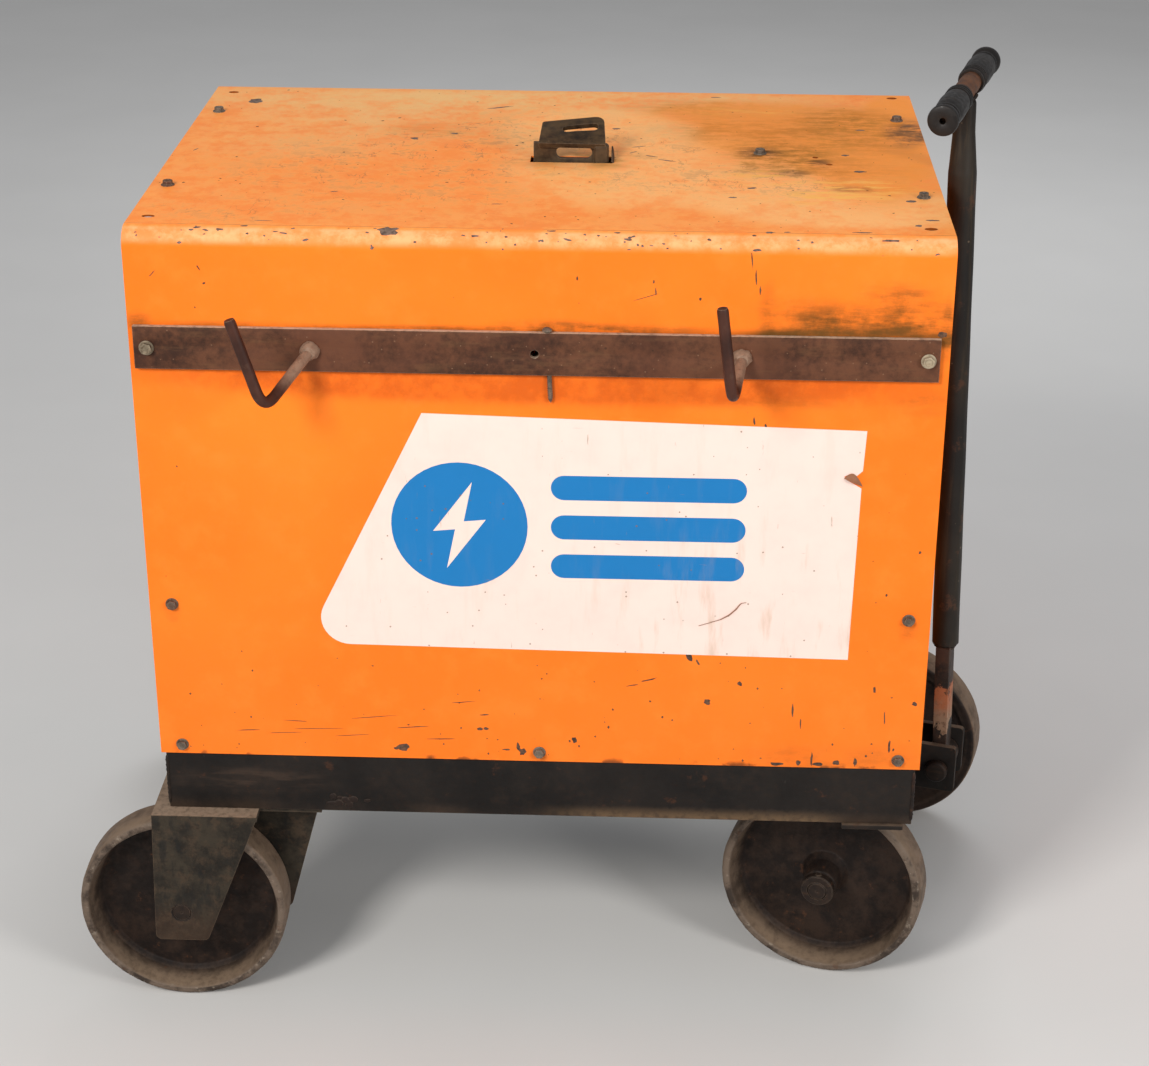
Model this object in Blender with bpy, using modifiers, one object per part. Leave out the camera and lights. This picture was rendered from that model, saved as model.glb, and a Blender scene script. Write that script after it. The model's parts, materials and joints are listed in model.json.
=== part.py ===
"""MIG welding power source on a four-wheel running gear.

Frame: metres, +Z up, floor at Z = 0, origin under the middle of the whole object.
+X runs along the case towards the steered wheels, +Y runs across it, away from the side with the hooks.
"""

from math import cos, pi, radians, sin

import bmesh
import bpy
from mathutils import Euler, Matrix, Vector

# Driving dimensions
CASE_L = 0.720
CASE_D = 0.503
CASE_H = 0.520
SHEET = 0.0016
CASE_BEND = 0.0175
BASE_H = 0.061
WHEEL_R = 0.1015
WHEEL_W = 0.050
RIM_W = 0.038
AXLE_R = 0.0095
FRAME_TO_AXLE = 0.111
GAP = 0.0003
STEER_YAW = radians(-16)
TONGUE_LEAN = radians(-2.1)
TONGUE_LENGTH = 0.7035
TUBE_R = 0.01335
ROUND = 32

# Where the case's lower near left corner stands, and the levels above the floor
X0 = -0.37055
Y0 = -0.2186
AXLE_Z = WHEEL_R
FRAME_Z = AXLE_Z + FRAME_TO_AXLE
CASE_Z = FRAME_Z + BASE_H
TOP_Z = CASE_Z + CASE_H
MID_Y = Y0 + CASE_D / 2

# Running gear
SADDLE_T = 0.005
SADDLE_Z = FRAME_Z - GAP - SADDLE_T
FIXED_X = X0 + 0.0108
LEG_OUT = 0.0145
WHEEL_IN = 0.0078
STEER_X = X0 + 0.686
STEER_Y = 0.0145
STEER_TRACK = 0.178
BOLSTER_HALF = 0.125
TURNTABLE_R = 0.055
BOLSTER_Z = 0.1965
KINGPIN_R = 0.010
TONGUE_PIN_R = 0.0063
FLANGE_T = 0.006
PIN_AHEAD = 0.0855
PIN_Z = 0.167

# End panels, set back inside the wrapper's edges
FRONT_X = X0 + 0.022
REAR_X = X0 + CASE_L - 0.008
PANEL_T = 0.002

# Small parts
HOOK_BAR_R = 0.0050
CROSSBAR_R = 0.0098
MEMBER_HALF = 0.020
MEMBER_XS = (X0 + 0.250, X0 + 0.480)
METER_BARREL_R = 0.0342
METER_HUB_DROP = 0.012
STUD_R = 0.0064
SPINDLE_R = 0.0050
GLAND_BARREL_R = 0.0120
VENT_ROWS = 9
VENT_PITCH = 0.022
SINK_FINS = 6
FAN_BLADES = 4

ORANGE = ("case_paint", (0.95, 0.27, 0.04), 0.45, 0.0)
FRAME_PAINT = ("frame_paint", (0.045, 0.040, 0.038), 0.7, 0.0)
RUSTED = ("rusted_steel", (0.10, 0.055, 0.035), 0.75, 0.6)
IRON = ("cast_iron", (0.16, 0.135, 0.115), 0.6, 0.7)
STEEL = ("zinc_steel", (0.50, 0.49, 0.46), 0.4, 0.9)
GRIP = ("grip_rubber", (0.02, 0.018, 0.017), 0.55, 0.0)
CORE = ("core_steel", (0.20, 0.20, 0.21), 0.5, 0.8)
COPPER = ("varnished_copper", (0.42, 0.16, 0.06), 0.4, 0.5)
ALUMINIUM = ("aluminium", (0.62, 0.62, 0.63), 0.4, 0.9)
BLACK = ("black_plastic", (0.02, 0.02, 0.02), 0.4, 0.0)
PANEL = ("panel_paint", (0.10, 0.10, 0.105), 0.5, 0.0)
BRASS = ("brass", (0.55, 0.38, 0.14), 0.35, 0.9)
GLASS = ("clear_glass", (0.85, 0.88, 0.88), 0.05, 0.0)
RED = ("pointer_red", (0.55, 0.03, 0.02), 0.5, 0.0)
LAMP = ("lamp_amber", (0.80, 0.30, 0.02), 0.2, 0.0)
BOARD = ("insulating_board", (0.20, 0.09, 0.05), 0.6, 0.0)


def clear_scene():
    for ob in list(bpy.data.objects):
        bpy.data.objects.remove(ob)


def collection(name):
    made = bpy.data.collections.new(name)
    bpy.context.scene.collection.children.link(made)
    return made


clear_scene()
PARTS = collection("mig_welder_on_cart")
CUTTERS = collection("cutters")


def material(finish):
    name, colour, roughness, metallic = finish
    found = bpy.data.materials.get(name)
    if found:
        return found
    made = bpy.data.materials.new(name)
    made.use_nodes = True
    shader = made.node_tree.nodes["Principled BSDF"]
    shader.inputs["Base Color"].default_value = (*colour, 1.0)
    shader.inputs["Roughness"].default_value = roughness
    shader.inputs["Metallic"].default_value = metallic
    made.diffuse_color = (*colour, 1.0)
    return made


def place(name, mesh, finish, at=(0, 0, 0), turn=(0, 0, 0), parent=None):
    """An object for the mesh: a part when it has a finish, and otherwise a cutter."""
    ob = bpy.data.objects.new(name, mesh)
    ob.location = at
    ob.rotation_euler = turn
    ob.parent = parent
    if finish is None:
        CUTTERS.objects.link(ob)
        ob.hide_render = True
        ob.display_type = "WIRE"
    else:
        PARTS.objects.link(ob)
        mesh.materials.clear()
        mesh.materials.append(material(finish))
    return ob


def pivot(name, at, turn=(0, 0, 0), parent=None):
    empty = bpy.data.objects.new(name, None)
    empty.location = at
    empty.rotation_euler = turn
    empty.parent = parent
    PARTS.objects.link(empty)
    return empty


def smooth(mesh):
    mesh.shade_smooth()
    mesh.set_sharp_from_angle(angle=radians(35))


def box(name, low, high, finish, bevel=0.0, parent=None, at=None, turn=(0, 0, 0)):
    """A box between two corners. With at, the corners are measured from that origin."""
    low, high = Vector(low), Vector(high)
    middle = (low + high) / 2
    bm = bmesh.new()
    bmesh.ops.create_cube(bm, size=1.0)
    bmesh.ops.scale(bm, vec=high - low, verts=bm.verts)
    if at is not None:
        bmesh.ops.translate(bm, vec=middle, verts=bm.verts)
    mesh = bpy.data.meshes.new(name)
    bm.to_mesh(mesh)
    bm.free()
    ob = place(name, mesh, finish, middle if at is None else at, turn, parent)
    if bevel:
        add_bevel(ob, bevel)
    return ob


def add_bevel(ob, width, segments=2):
    bevel = ob.modifiers.new("rounded_edges", "BEVEL")
    bevel.width = width
    bevel.segments = segments
    bevel.limit_method = "ANGLE"
    bevel.angle_limit = radians(40)


AXIS_TURN = {"X": (0, pi / 2, 0), "Y": (-pi / 2, 0, 0), "Z": (0, 0, 0)}


def rod(name, radius, length, middle, axis, finish, parent=None, segments=ROUND, tip=None):
    """A cylinder, or with a tip radius a cone, centred on its middle."""
    bm = bmesh.new()
    bmesh.ops.create_cone(
        bm, cap_ends=True, segments=segments, depth=length,
        radius1=radius, radius2=radius if tip is None else tip,
    )
    mesh = bpy.data.meshes.new(name)
    bm.to_mesh(mesh)
    bm.free()
    smooth(mesh)
    return place(name, mesh, finish, middle, AXIS_TURN[axis], parent)


def turned(name, profile, middle, axis, finish, parent=None, closed=False, steps=ROUND, flip=False):
    """A profile of (radius, height) points, running down its outer side, turned about the axis."""
    bm = bmesh.new()
    points = [bm.verts.new((r, 0, z)) for r, z in profile]
    for a, b in zip(points, points[1:]):
        bm.edges.new((a, b))
    if closed:
        bm.edges.new((points[-1], points[0]))
    mesh = bpy.data.meshes.new(name)
    bm.to_mesh(mesh)
    bm.free()
    turn = Euler(AXIS_TURN[axis]).to_matrix()
    if flip:
        turn = turn @ Matrix.Rotation(pi, 3, "X")
    ob = place(name, mesh, finish, middle, turn.to_euler(), parent)
    screw = ob.modifiers.new("turned", "SCREW")
    screw.steps = steps
    screw.render_steps = steps
    screw.use_merge_vertices = True
    screw.merge_threshold = 0.00005
    screw.use_smooth_shade = True
    return ob


def outline_of(corners, radii, arc_steps=5):
    """The closed outline through the corners, with each corner rounded to its radius."""
    points = []
    count = len(corners)
    for i in range(count):
        here = Vector(corners[i])
        back = (Vector(corners[i - 1]) - here).normalized()
        ahead = (Vector(corners[(i + 1) % count]) - here).normalized()
        radius = radii[i] if isinstance(radii, (list, tuple)) else radii
        if radius <= 0:
            points.append(tuple(here))
            continue
        half = back.angle(ahead) / 2
        reach = radius / max(1e-6, abs(sin(half) / cos(half)))
        centre = here + (back + ahead).normalized() * (radius / sin(half))
        start = here + back * reach - centre
        sweep = (here + ahead * reach - centre).angle_signed(start)
        for k in range(arc_steps + 1):
            arm = start.copy()
            arm.rotate(Matrix.Rotation(sweep * k / arc_steps, 2))
            points.append(tuple(centre + arm))
    return points


PLANE_TURN = {
    "XY": Matrix.Identity(3),
    "XZ": Matrix.Rotation(pi / 2, 3, "X"),
    "YZ": Matrix.Rotation(pi / 2, 3, "Z") @ Matrix.Rotation(pi / 2, 3, "X"),
}


def to_mesh_object(ob, name, finish, parent):
    """Replaces a curve object by a closed mesh in the same place."""
    bpy.context.view_layer.update()
    graph = bpy.context.evaluated_depsgraph_get()
    mesh = bpy.data.meshes.new_from_object(ob.evaluated_get(graph))
    mesh.name = name
    bm = bmesh.new()
    bm.from_mesh(mesh)
    bmesh.ops.remove_doubles(bm, verts=bm.verts, dist=0.00002)
    bmesh.ops.recalc_face_normals(bm, faces=bm.faces)
    bm.to_mesh(mesh)
    bm.free()
    at = ob.location.copy()
    turn = ob.rotation_euler.copy()
    curve = ob.data
    bpy.data.objects.remove(ob)
    bpy.data.curves.remove(curve)
    return place(name, mesh, finish, at, turn, parent)


def plate(name, outline, thickness, plane, at, finish, parent=None):
    """A flat plate: the outline in the plane's own two axes, centred on the plane through at."""
    curve = bpy.data.curves.new(name + "_outline", "CURVE")
    curve.dimensions = "2D"
    curve.fill_mode = "BOTH"
    curve.extrude = thickness / 2
    spline = curve.splines.new("POLY")
    spline.points.add(len(outline) - 1)
    for point, (u, v) in zip(spline.points, outline):
        point.co = (u, v, 0, 1)
    spline.use_cyclic_u = True
    flat = bpy.data.objects.new(name + "_outline", curve)
    flat.location = at
    flat.rotation_euler = PLANE_TURN[plane].to_euler()
    PARTS.objects.link(flat)
    return to_mesh_object(flat, name, finish, parent)


def wire(name, points, radius, finish, parent=None, at=(0, 0, 0)):
    """A round bar through the points."""
    curve = bpy.data.curves.new(name + "_line", "CURVE")
    curve.dimensions = "3D"
    curve.bevel_depth = radius
    curve.bevel_resolution = 3
    curve.use_fill_caps = True
    spline = curve.splines.new("POLY")
    spline.points.add(len(points) - 1)
    for point, co in zip(spline.points, points):
        point.co = (*co, 1)
    line = bpy.data.objects.new(name + "_line", curve)
    line.location = at
    PARTS.objects.link(line)
    ob = to_mesh_object(line, name, finish, parent)
    smooth(ob.data)
    return ob


def combine(ob, other, operation):
    step = ob.modifiers.new(operation.lower(), "BOOLEAN")
    step.operation = operation
    step.solver = "EXACT"
    step.object = other


def cut(ob, *others):
    for other in others:
        combine(ob, other, "DIFFERENCE")


def join(ob, *others):
    for other in others:
        combine(ob, other, "UNION")


# ---------------------------------------------------------------- base and case


def make_base_frame():
    """Four channel rails with their flanges turned in, and two cross members."""
    x1, x2 = X0 + 0.004, X0 + CASE_L - 0.004
    y1, y2 = Y0 + 0.002, Y0 + CASE_D - 0.002
    top = CASE_Z - GAP
    web, flange, reach = 0.005, FLANGE_T, 0.038
    frame = box("base_frame", (x1, y1, FRAME_Z), (x2, y2, top), FRAME_PAINT)
    hollow = box(
        "base_hollow", (x1 + web, y1 + web, FRAME_Z + flange), (x2 - web, y2 - web, top - flange), None
    )
    opening = box(
        "base_opening", (x1 + reach, y1 + reach, FRAME_Z - 0.01), (x2 - reach, y2 - reach, top + 0.01),
        None
    )
    cut(
        frame, hollow, opening,
        rod("kingpin_base_bore", KINGPIN_R + GAP, 0.03, (STEER_X, STEER_Y, FRAME_Z), "Z", None),
    )
    for number, x in enumerate(MEMBER_XS):
        member = box(
            f"base_member_{number}",
            (x - MEMBER_HALF, y1 + 0.003, FRAME_Z + 0.012), (x + MEMBER_HALF, y2 - 0.003, top - 0.003),
            None,
        )
        join(frame, member)


def make_floor_pan():
    box(
        "floor_pan",
        (FRONT_X + 0.006, Y0 + 0.006, CASE_Z), (REAR_X - 0.006, Y0 + CASE_D - 0.006, CASE_Z + 0.002),
        FRAME_PAINT,
    )


def wrapper_profile():
    """Half of the case's cross-section: up the near side, round the bend and in along the top."""
    half = CASE_D / 2
    points = [(-half, CASE_Z + GAP)]
    for k in range(7):
        angle = radians(90 * k / 6)
        points.append(
            (-half + CASE_BEND * (1 - cos(angle)), TOP_Z - CASE_BEND * (1 - sin(angle)))
        )
    points.append((0, TOP_Z))
    return points


EYE_X = X0 + 0.380
EYE_Y = Y0 + 0.233


def make_case_wrapper():
    """One folded sheet over the top and both sides, cut out for the lifting eye."""
    bm = bmesh.new()
    half = CASE_L / 2
    ends = [[bm.verts.new((x, y, z)) for y, z in wrapper_profile()] for x in (-half, half)]
    for i in range(len(ends[0]) - 1):
        bm.faces.new((ends[0][i], ends[1][i], ends[1][i + 1], ends[0][i + 1]))
    mesh = bpy.data.meshes.new("case_wrapper")
    bm.to_mesh(mesh)
    bm.free()
    wrapper = place("case_wrapper", mesh, ORANGE, (X0 + half, MID_Y, 0))
    mirror = wrapper.modifiers.new("far_half", "MIRROR")
    mirror.use_axis = (False, True, False)
    mirror.merge_threshold = 0.0001
    sheet = wrapper.modifiers.new("sheet", "SOLIDIFY")
    sheet.thickness = SHEET
    sheet.offset = -1
    sheet.use_even_offset = True
    hole = box(
        "eye_hole", (EYE_X - 0.0385, EYE_Y - 0.009, TOP_Z - 0.02),
        (EYE_X + 0.0395, EYE_Y + 0.012, TOP_Z + 0.02), None
    )
    cut(wrapper, hole)


def panel_outline():
    """An end panel's outline in Y and Z, a little inside the wrapper all round."""
    inset = SHEET + 0.0008
    low, high = CASE_Z + 0.001, TOP_Z - inset
    left, right = Y0 + inset, Y0 + CASE_D - inset
    bend = CASE_BEND - SHEET
    return outline_of([(left, low), (right, low), (right, high), (left, high)], [0, 0, bend, bend], 4)


def make_front_panel():
    """The control panel, with a hole for each instrument and control."""
    panel = plate("front_panel", panel_outline(), PANEL_T, "YZ", (FRONT_X + PANEL_T / 2, 0, 0), PANEL)
    reach = 0.02
    for name, y, z, radius in (
        ("voltmeter", *VOLTMETER, METER_BARREL_R + 0.0008),
        ("ammeter", *AMMETER, METER_BARREL_R + 0.0008),
        ("knob", *KNOB, SPINDLE_R + 0.0005),
        ("lamp", *LAMP_AT, 0.0075),
        ("receptacle", *RECEPTACLE, 0.0145),
    ):
        cutter = rod(f"{name}_hole", radius, reach, (FRONT_X, y, z), "X", None)
        cut(panel, cutter)
    y, z = SWITCH
    cut(
        panel,
        box(
            "switch_hole", (FRONT_X - reach, y - 0.013, z - 0.019),
            (FRONT_X + reach, y + 0.013, z + 0.019), None,
        ),
    )
    y, z = OUTPUT
    cut(
        panel,
        box(
            "output_hole", (FRONT_X - reach, y - 0.095, z - 0.045),
            (FRONT_X + reach, y + 0.095, z + 0.045), None,
        ),
    )


def make_rear_panel():
    """The air outlet: a plain sheet with rows of slots behind the fan and a hole for the supply gland."""
    panel = plate("rear_panel", panel_outline(), PANEL_T, "YZ", (REAR_X + PANEL_T / 2, 0, 0), ORANGE)
    for row in range(VENT_ROWS):
        z = FAN_Z + VENT_PITCH * (row - (VENT_ROWS - 1) / 2)
        slot = box(
            f"vent_slot_{row}", (REAR_X - 0.01, MID_Y - 0.105, z - 0.0035),
            (REAR_X + 0.01, MID_Y + 0.105, z + 0.0035), None
        )
        cut(panel, slot)
    cut(panel, rod("gland_hole", GLAND_BARREL_R + 0.0005, 0.03, (REAR_X, GLAND[0], GLAND[1]), "X", None))


def make_lifting_frame():
    """The inner hoop that takes the lifting load from the eye down to the base."""
    low = CASE_Z + 0.002 + GAP
    top = TOP_Z - 0.012
    y1, y2 = Y0 + 0.008, Y0 + CASE_D - 0.008
    hoop = box("lifting_frame", (EYE_X - 0.022, y1, low), (EYE_X + 0.022, y2, top), FRAME_PAINT)
    inside = box(
        "lifting_inside", (EYE_X - 0.05, y1 + 0.006, low - 0.01), (EYE_X + 0.05, y2 - 0.006, top - 0.010),
        None
    )
    cut(hoop, inside)


def make_lifting_eye():
    """A slotted upright leg with a thick cheek, and a slotted plate that leans far back from its top."""
    leg_half = 0.0355
    base = TOP_Z - 0.012 + GAP
    bend_z = TOP_Z + 0.0165
    leg = box(
        "lifting_eye",
        (EYE_X - leg_half, EYE_Y - 0.001, base), (EYE_X + 0.030, EYE_Y + 0.004, bend_z), RUSTED,
    )
    cheek = box(
        "eye_cheek", (EYE_X + 0.0215, EYE_Y - 0.006, base + 0.001),
        (EYE_X + leg_half, EYE_Y + 0.006, bend_z - 0.001), None
    )
    add_bevel(cheek, 0.002, 1)
    lean = radians(20)
    outline = outline_of(
        [(-0.0305, -0.0045), (0.0325, -0.0045), (0.0300, 0.0370), (-0.0285, 0.0335)],
        [0, 0, 0.009, 0.003], 4,
    )
    back = plate("eye_back", outline, 0.005, "XY", (0, 0, 0), None)
    twist = 2.4
    for vertex in back.data.vertices:
        vertex.co.z += twist * vertex.co.x * vertex.co.y
    back.location = (EYE_X, EYE_Y - 0.001, bend_z)
    back.rotation_euler = (lean, 0, 0)
    join(leg, cheek, back)
    slot = outline_of([(-0.017, -0.0055), (0.017, -0.0055), (0.017, 0.0055), (-0.017, 0.0055)], 0.0050, 4)
    lower = plate("eye_slot_lower", slot, 0.04, "XZ", (EYE_X + 0.0028, EYE_Y, TOP_Z + 0.0070), None)
    upper = plate("eye_slot_upper", slot, 0.03, "XY", (0, 0, 0), None)
    slot_out = 0.020
    upper.location = Vector(
        (EYE_X + 0.008, EYE_Y - 0.001 + slot_out * cos(lean), bend_z + slot_out * sin(lean))
    )
    upper.rotation_euler = (lean, 0, radians(6))
    cut(leg, lower, upper)


STRAP_Z = CASE_Z + 0.4133
STRAP_H = 0.0395
STRAP_T = 0.0048
STRAP_Y = Y0 - GAP - STRAP_T
BOLT_XS = (X0 + 0.0165, X0 + 0.7010)
HOOK_XS = (X0 + 0.1605, X0 + 0.5390)


def make_hook_strap():
    """The flat bar across the near side that carries the cable hooks."""
    strap = box(
        "hook_strap",
        (X0 + 0.005, STRAP_Y, STRAP_Z - STRAP_H / 2),
        (X0 + 0.711, STRAP_Y + STRAP_T, STRAP_Z + STRAP_H / 2),
        RUSTED,
    )
    middle = STRAP_Y + STRAP_T / 2
    for number, x in enumerate((*BOLT_XS, X0 + 0.358)):
        cut(
            strap,
            rod(f"strap_hole_{number}", 0.0038, 0.02, (x, middle, STRAP_Z), "Y", None, segments=20),
        )


def make_strap_bolt(name, x):
    """A hexagon bolt through the strap, with its shank ending inside the strap."""
    head = rod(name, 0.0056, 0.0050, (x, STRAP_Y - GAP - 0.0036, STRAP_Z), "Y", STEEL, segments=6)
    head.rotation_euler = (-pi / 2, radians(14), 0)
    flange = rod(
        name + "_flange", 0.0070, 0.0014, (x, STRAP_Y - GAP - 0.0007, STRAP_Z), "Y", None, segments=28,
    )
    shank = rod(name + "_shank", 0.0030, 0.0060, (x, STRAP_Y + 0.0015, STRAP_Z), "Y", None, segments=20)
    join(head, flange, shank)


def hook_line(root, bend, tip):
    """From the root along the arm, round a bend of even radius, and up to the tip."""
    root, bend, tip = Vector(root), Vector(bend), Vector(tip)
    radius = 0.016
    back = (root - bend).normalized()
    ahead = (tip - bend).normalized()
    half = back.angle(ahead) / 2
    reach = radius * cos(half) / sin(half)
    centre = bend + (back + ahead).normalized() * (radius / sin(half))
    start = bend + back * reach - centre
    stop = bend + ahead * reach - centre
    axis = start.cross(stop)
    sweep = start.angle(stop)
    points = [root]
    for k in range(7):
        points.append(centre + Matrix.Rotation(sweep * k / 6, 3, axis) @ start)
    points.append(tip)
    return [tuple(p) for p in points]


def make_cable_hook(name, root_x, bend, tip):
    """A bent round bar with a weld collar at its root. Bend and tip are measured from the root."""
    root = Vector((root_x, STRAP_Y - GAP, CASE_Z + 0.4130))
    collar = turned(
        name + "_collar",
        ((0.0, 0.0085), (0.0065, 0.0085), (0.0095, 0.0035), (0.0105, 0.0), (0.0, 0.0)),
        root, "Y", None, steps=20, flip=True,
    )
    line = hook_line((0, -0.0035, 0), bend, tip)
    hook = wire(name, line, HOOK_BAR_R, RUSTED, at=root)
    join(hook, collar)


# ---------------------------------------------------------------- running gear


def leg_outline(top_back, top_front, foot_back, foot_front, top, foot):
    corners = [(top_back, top), (foot_back, foot), (foot_front, foot), (top_front, top)]
    return outline_of(corners, [0, 0.006, 0.006, 0], 3)


def make_fixed_saddle():
    """The plate under the base that carries two pairs of legs, one pair on either side of each wheel."""
    back, tab, front = X0 - 0.0115, X0 + 0.0900, X0 + 0.1500
    near, far = Y0 - LEG_OUT, Y0 + CASE_D + LEG_OUT
    tab_depth = LEG_OUT + 0.006
    shape = [
        (back, near), (tab, near), (tab, near + tab_depth), (front, near + tab_depth),
        (front, far - tab_depth), (tab, far - tab_depth), (tab, far), (back, far),
    ]
    saddle = plate(
        "fixed_axle_saddle", shape, SADDLE_T, "XY", (0, 0, SADDLE_Z + SADDLE_T / 2), FRAME_PAINT,
    )
    hub = rod(
        "fixed_axle_bore", AXLE_R + GAP, CASE_D + 0.1, (FIXED_X, MID_Y, AXLE_Z), "Y", None,
        segments=ROUND,
    )
    top = SADDLE_Z + 0.003
    outer = leg_outline(-0.0115, 0.0900, -0.0165, 0.0350, top, 0.070)
    inner = leg_outline(-0.0115, 0.1465, -0.0100, 0.1090, top, 0.072)
    inner_leg_in = 0.049
    for side, y in (("near", Y0), ("far", Y0 + CASE_D)):
        inward = 1 if side == "near" else -1
        outer_leg = plate(
            f"outer_leg_{side}", [(X0 + u, v) for u, v in outer], 0.005, "XZ",
            (0, y - inward * (LEG_OUT - 0.0025), 0), None,
        )
        inner_leg = plate(
            f"inner_leg_{side}", [(X0 + u, v) for u, v in inner], 0.005, "XZ",
            (0, y + inward * inner_leg_in, 0), None,
        )
        join(saddle, outer_leg, inner_leg)
    cut(saddle, hub)


def make_fixed_axle():
    rod("fixed_axle", AXLE_R, CASE_D + 2 * LEG_OUT - 0.0006, (FIXED_X, MID_Y, AXLE_Z), "Y", IRON)


def wheel_profile():
    """A cast wheel: a deep recess on the outboard side, a shallow one inboard, and a long hub."""
    edge = WHEEL_W / 2
    rim_in = edge - RIM_W
    chamfer = 0.003
    outboard = [
        (0.0170, edge), (0.0192, 0.0040), (0.0240, -0.0030), (0.0850, -0.0035), (0.0885, 0.0020),
        (0.0930, edge - 0.001),
    ]
    rim = [
        (WHEEL_R - chamfer, edge), (WHEEL_R, edge - chamfer), (WHEEL_R, rim_in + chamfer),
        (WHEEL_R - chamfer, rim_in),
    ]
    inboard = [
        (0.0895, rim_in), (0.0860, -0.0100), (0.0230, -0.0095), (0.0190, -edge - 0.0015),
    ]
    bore = [(AXLE_R + 0.0004, -edge - 0.0015), (AXLE_R + 0.0004, edge)]
    return rim + inboard + bore + outboard


def make_wheel(name, middle, flip, parent=None):
    turned(name, wheel_profile(), middle, "Y", IRON, parent, closed=True, flip=flip)


def make_steer_top_plate():
    """The plate under the base that holds the kingpin, with a turntable ring below it."""
    top = box(
        "steer_top_plate",
        (X0 + 0.650, Y0 - 0.001, SADDLE_Z), (X0 + 0.708, Y0 + CASE_D + 0.001, SADDLE_Z + SADDLE_T),
        FRAME_PAINT,
    )
    disc_low = BOLSTER_Z + 0.0006
    disc = rod(
        "turntable_ring", TURNTABLE_R, SADDLE_Z + 0.003 - disc_low,
        (STEER_X, STEER_Y, (SADDLE_Z + 0.003 + disc_low) / 2), "Z", None
    )
    join(top, disc)
    cut(
        top,
        rod("kingpin_top_bore", KINGPIN_R + GAP, 0.1, (STEER_X, STEER_Y, SADDLE_Z), "Z", None, segments=32),
    )


def make_kingpin():
    """The steering pivot: a headed pin from below, and the nut that holds it inside the base."""
    head_top = BOLSTER_Z - 0.0065 - 0.0005
    nut_low = FRAME_Z + FLANGE_T + GAP
    turned(
        "kingpin",
        (
            (0.0, nut_low + 0.016), (KINGPIN_R, nut_low + 0.016), (KINGPIN_R, head_top),
            (0.0155, head_top), (0.0155, head_top - 0.009), (0.0, head_top - 0.009),
        ),
        (STEER_X, STEER_Y, 0), "Z", STEEL, steps=32,
    )
    nut = rod("kingpin_nut", 0.0175, 0.011, (STEER_X, STEER_Y, nut_low + 0.0055), "Z", STEEL, segments=6)
    cut(
        nut,
        rod("kingpin_nut_bore", KINGPIN_R + GAP, 0.05, (STEER_X, STEER_Y, nut_low), "Z", None, segments=32),
    )


def make_bolster(steer):
    """The welded steering head. In its own frame X is ahead, Y along its axle and Z up from the floor."""
    thickness = 0.0065
    half = BOLSTER_HALF
    bolster = box(
        "steer_bolster", (-0.045, -half, BOLSTER_Z - thickness), (0.045, half, BOLSTER_Z), FRAME_PAINT,
        parent=steer, at=(0, 0, 0),
    )
    top = BOLSTER_Z - 0.002
    leg = outline_of(
        [(-0.040, top), (-0.026, 0.076), (0.026, 0.076), (0.040, top)], [0, 0.010, 0.010, 0], 3,
    )
    ear = outline_of(
        [(-0.034, 0.1935), (-0.034, 0.150), (0.030, 0.142), (0.104, 0.142), (0.104, 0.1935)],
        [0, 0, 0, 0.004, 0.004], 3,
    )
    for side, sign in (("near", -1), ("far", 1)):
        leg_y = sign * (half - thickness / 2)
        join(
            bolster,
            plate(f"bolster_leg_{side}", leg, thickness, "XZ", (0, leg_y, 0), None, steer),
            plate(f"bolster_ear_{side}", ear, 0.006, "XZ", (0, sign * 0.0220, 0), None, steer),
        )
    cut(
        bolster,
        rod("bolster_axle_bore", AXLE_R + GAP, 0.4, (0, 0, AXLE_Z), "Y", None, steer),
        rod(
            "bolster_pin_bore", TONGUE_PIN_R + GAP, 0.1, (PIN_AHEAD, 0, PIN_Z), "Y", None, steer,
            segments=28,
        ),
        rod("bolster_king_bore", KINGPIN_R + GAP, 0.05, (0, 0, BOLSTER_Z), "Z", None, steer, segments=32),
    )


def make_steer_axle(steer):
    rod("steer_axle", AXLE_R, 2 * (STEER_TRACK + 0.0115), (0, 0, AXLE_Z), "Y", IRON, steer)
    for side, sign in (("near", -1), ("far", 1)):
        collar = rod(
            f"axle_collar_{side}", 0.0165, 0.0095, (0, sign * (STEER_TRACK + 0.0060), AXLE_Z), "Y", IRON,
            steer
        )
        bore = rod(
            f"axle_collar_bore_{side}", AXLE_R + GAP, 0.05, (0, sign * STEER_TRACK, AXLE_Z), "Y", None,
            steer
        )
        cut(collar, bore)


def make_tongue_pin(steer):
    """The headed pin that the tongue swings on."""
    turned(
        "tongue_pin",
        (
            (0.0, 0.0345), (0.0100, 0.0345), (0.0115, 0.0325), (0.0115, 0.0265),
            (TONGUE_PIN_R, 0.0265), (TONGUE_PIN_R, -0.031), (0.0, -0.031),
        ),
        (PIN_AHEAD, 0, PIN_Z), "Y", STEEL, steer, steps=28, flip=True,
    )


# ---------------------------------------------------------------- tongue, with Z along it from its pin

TUBE_FOOT = 0.134
NECK_R = 0.0098


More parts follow.
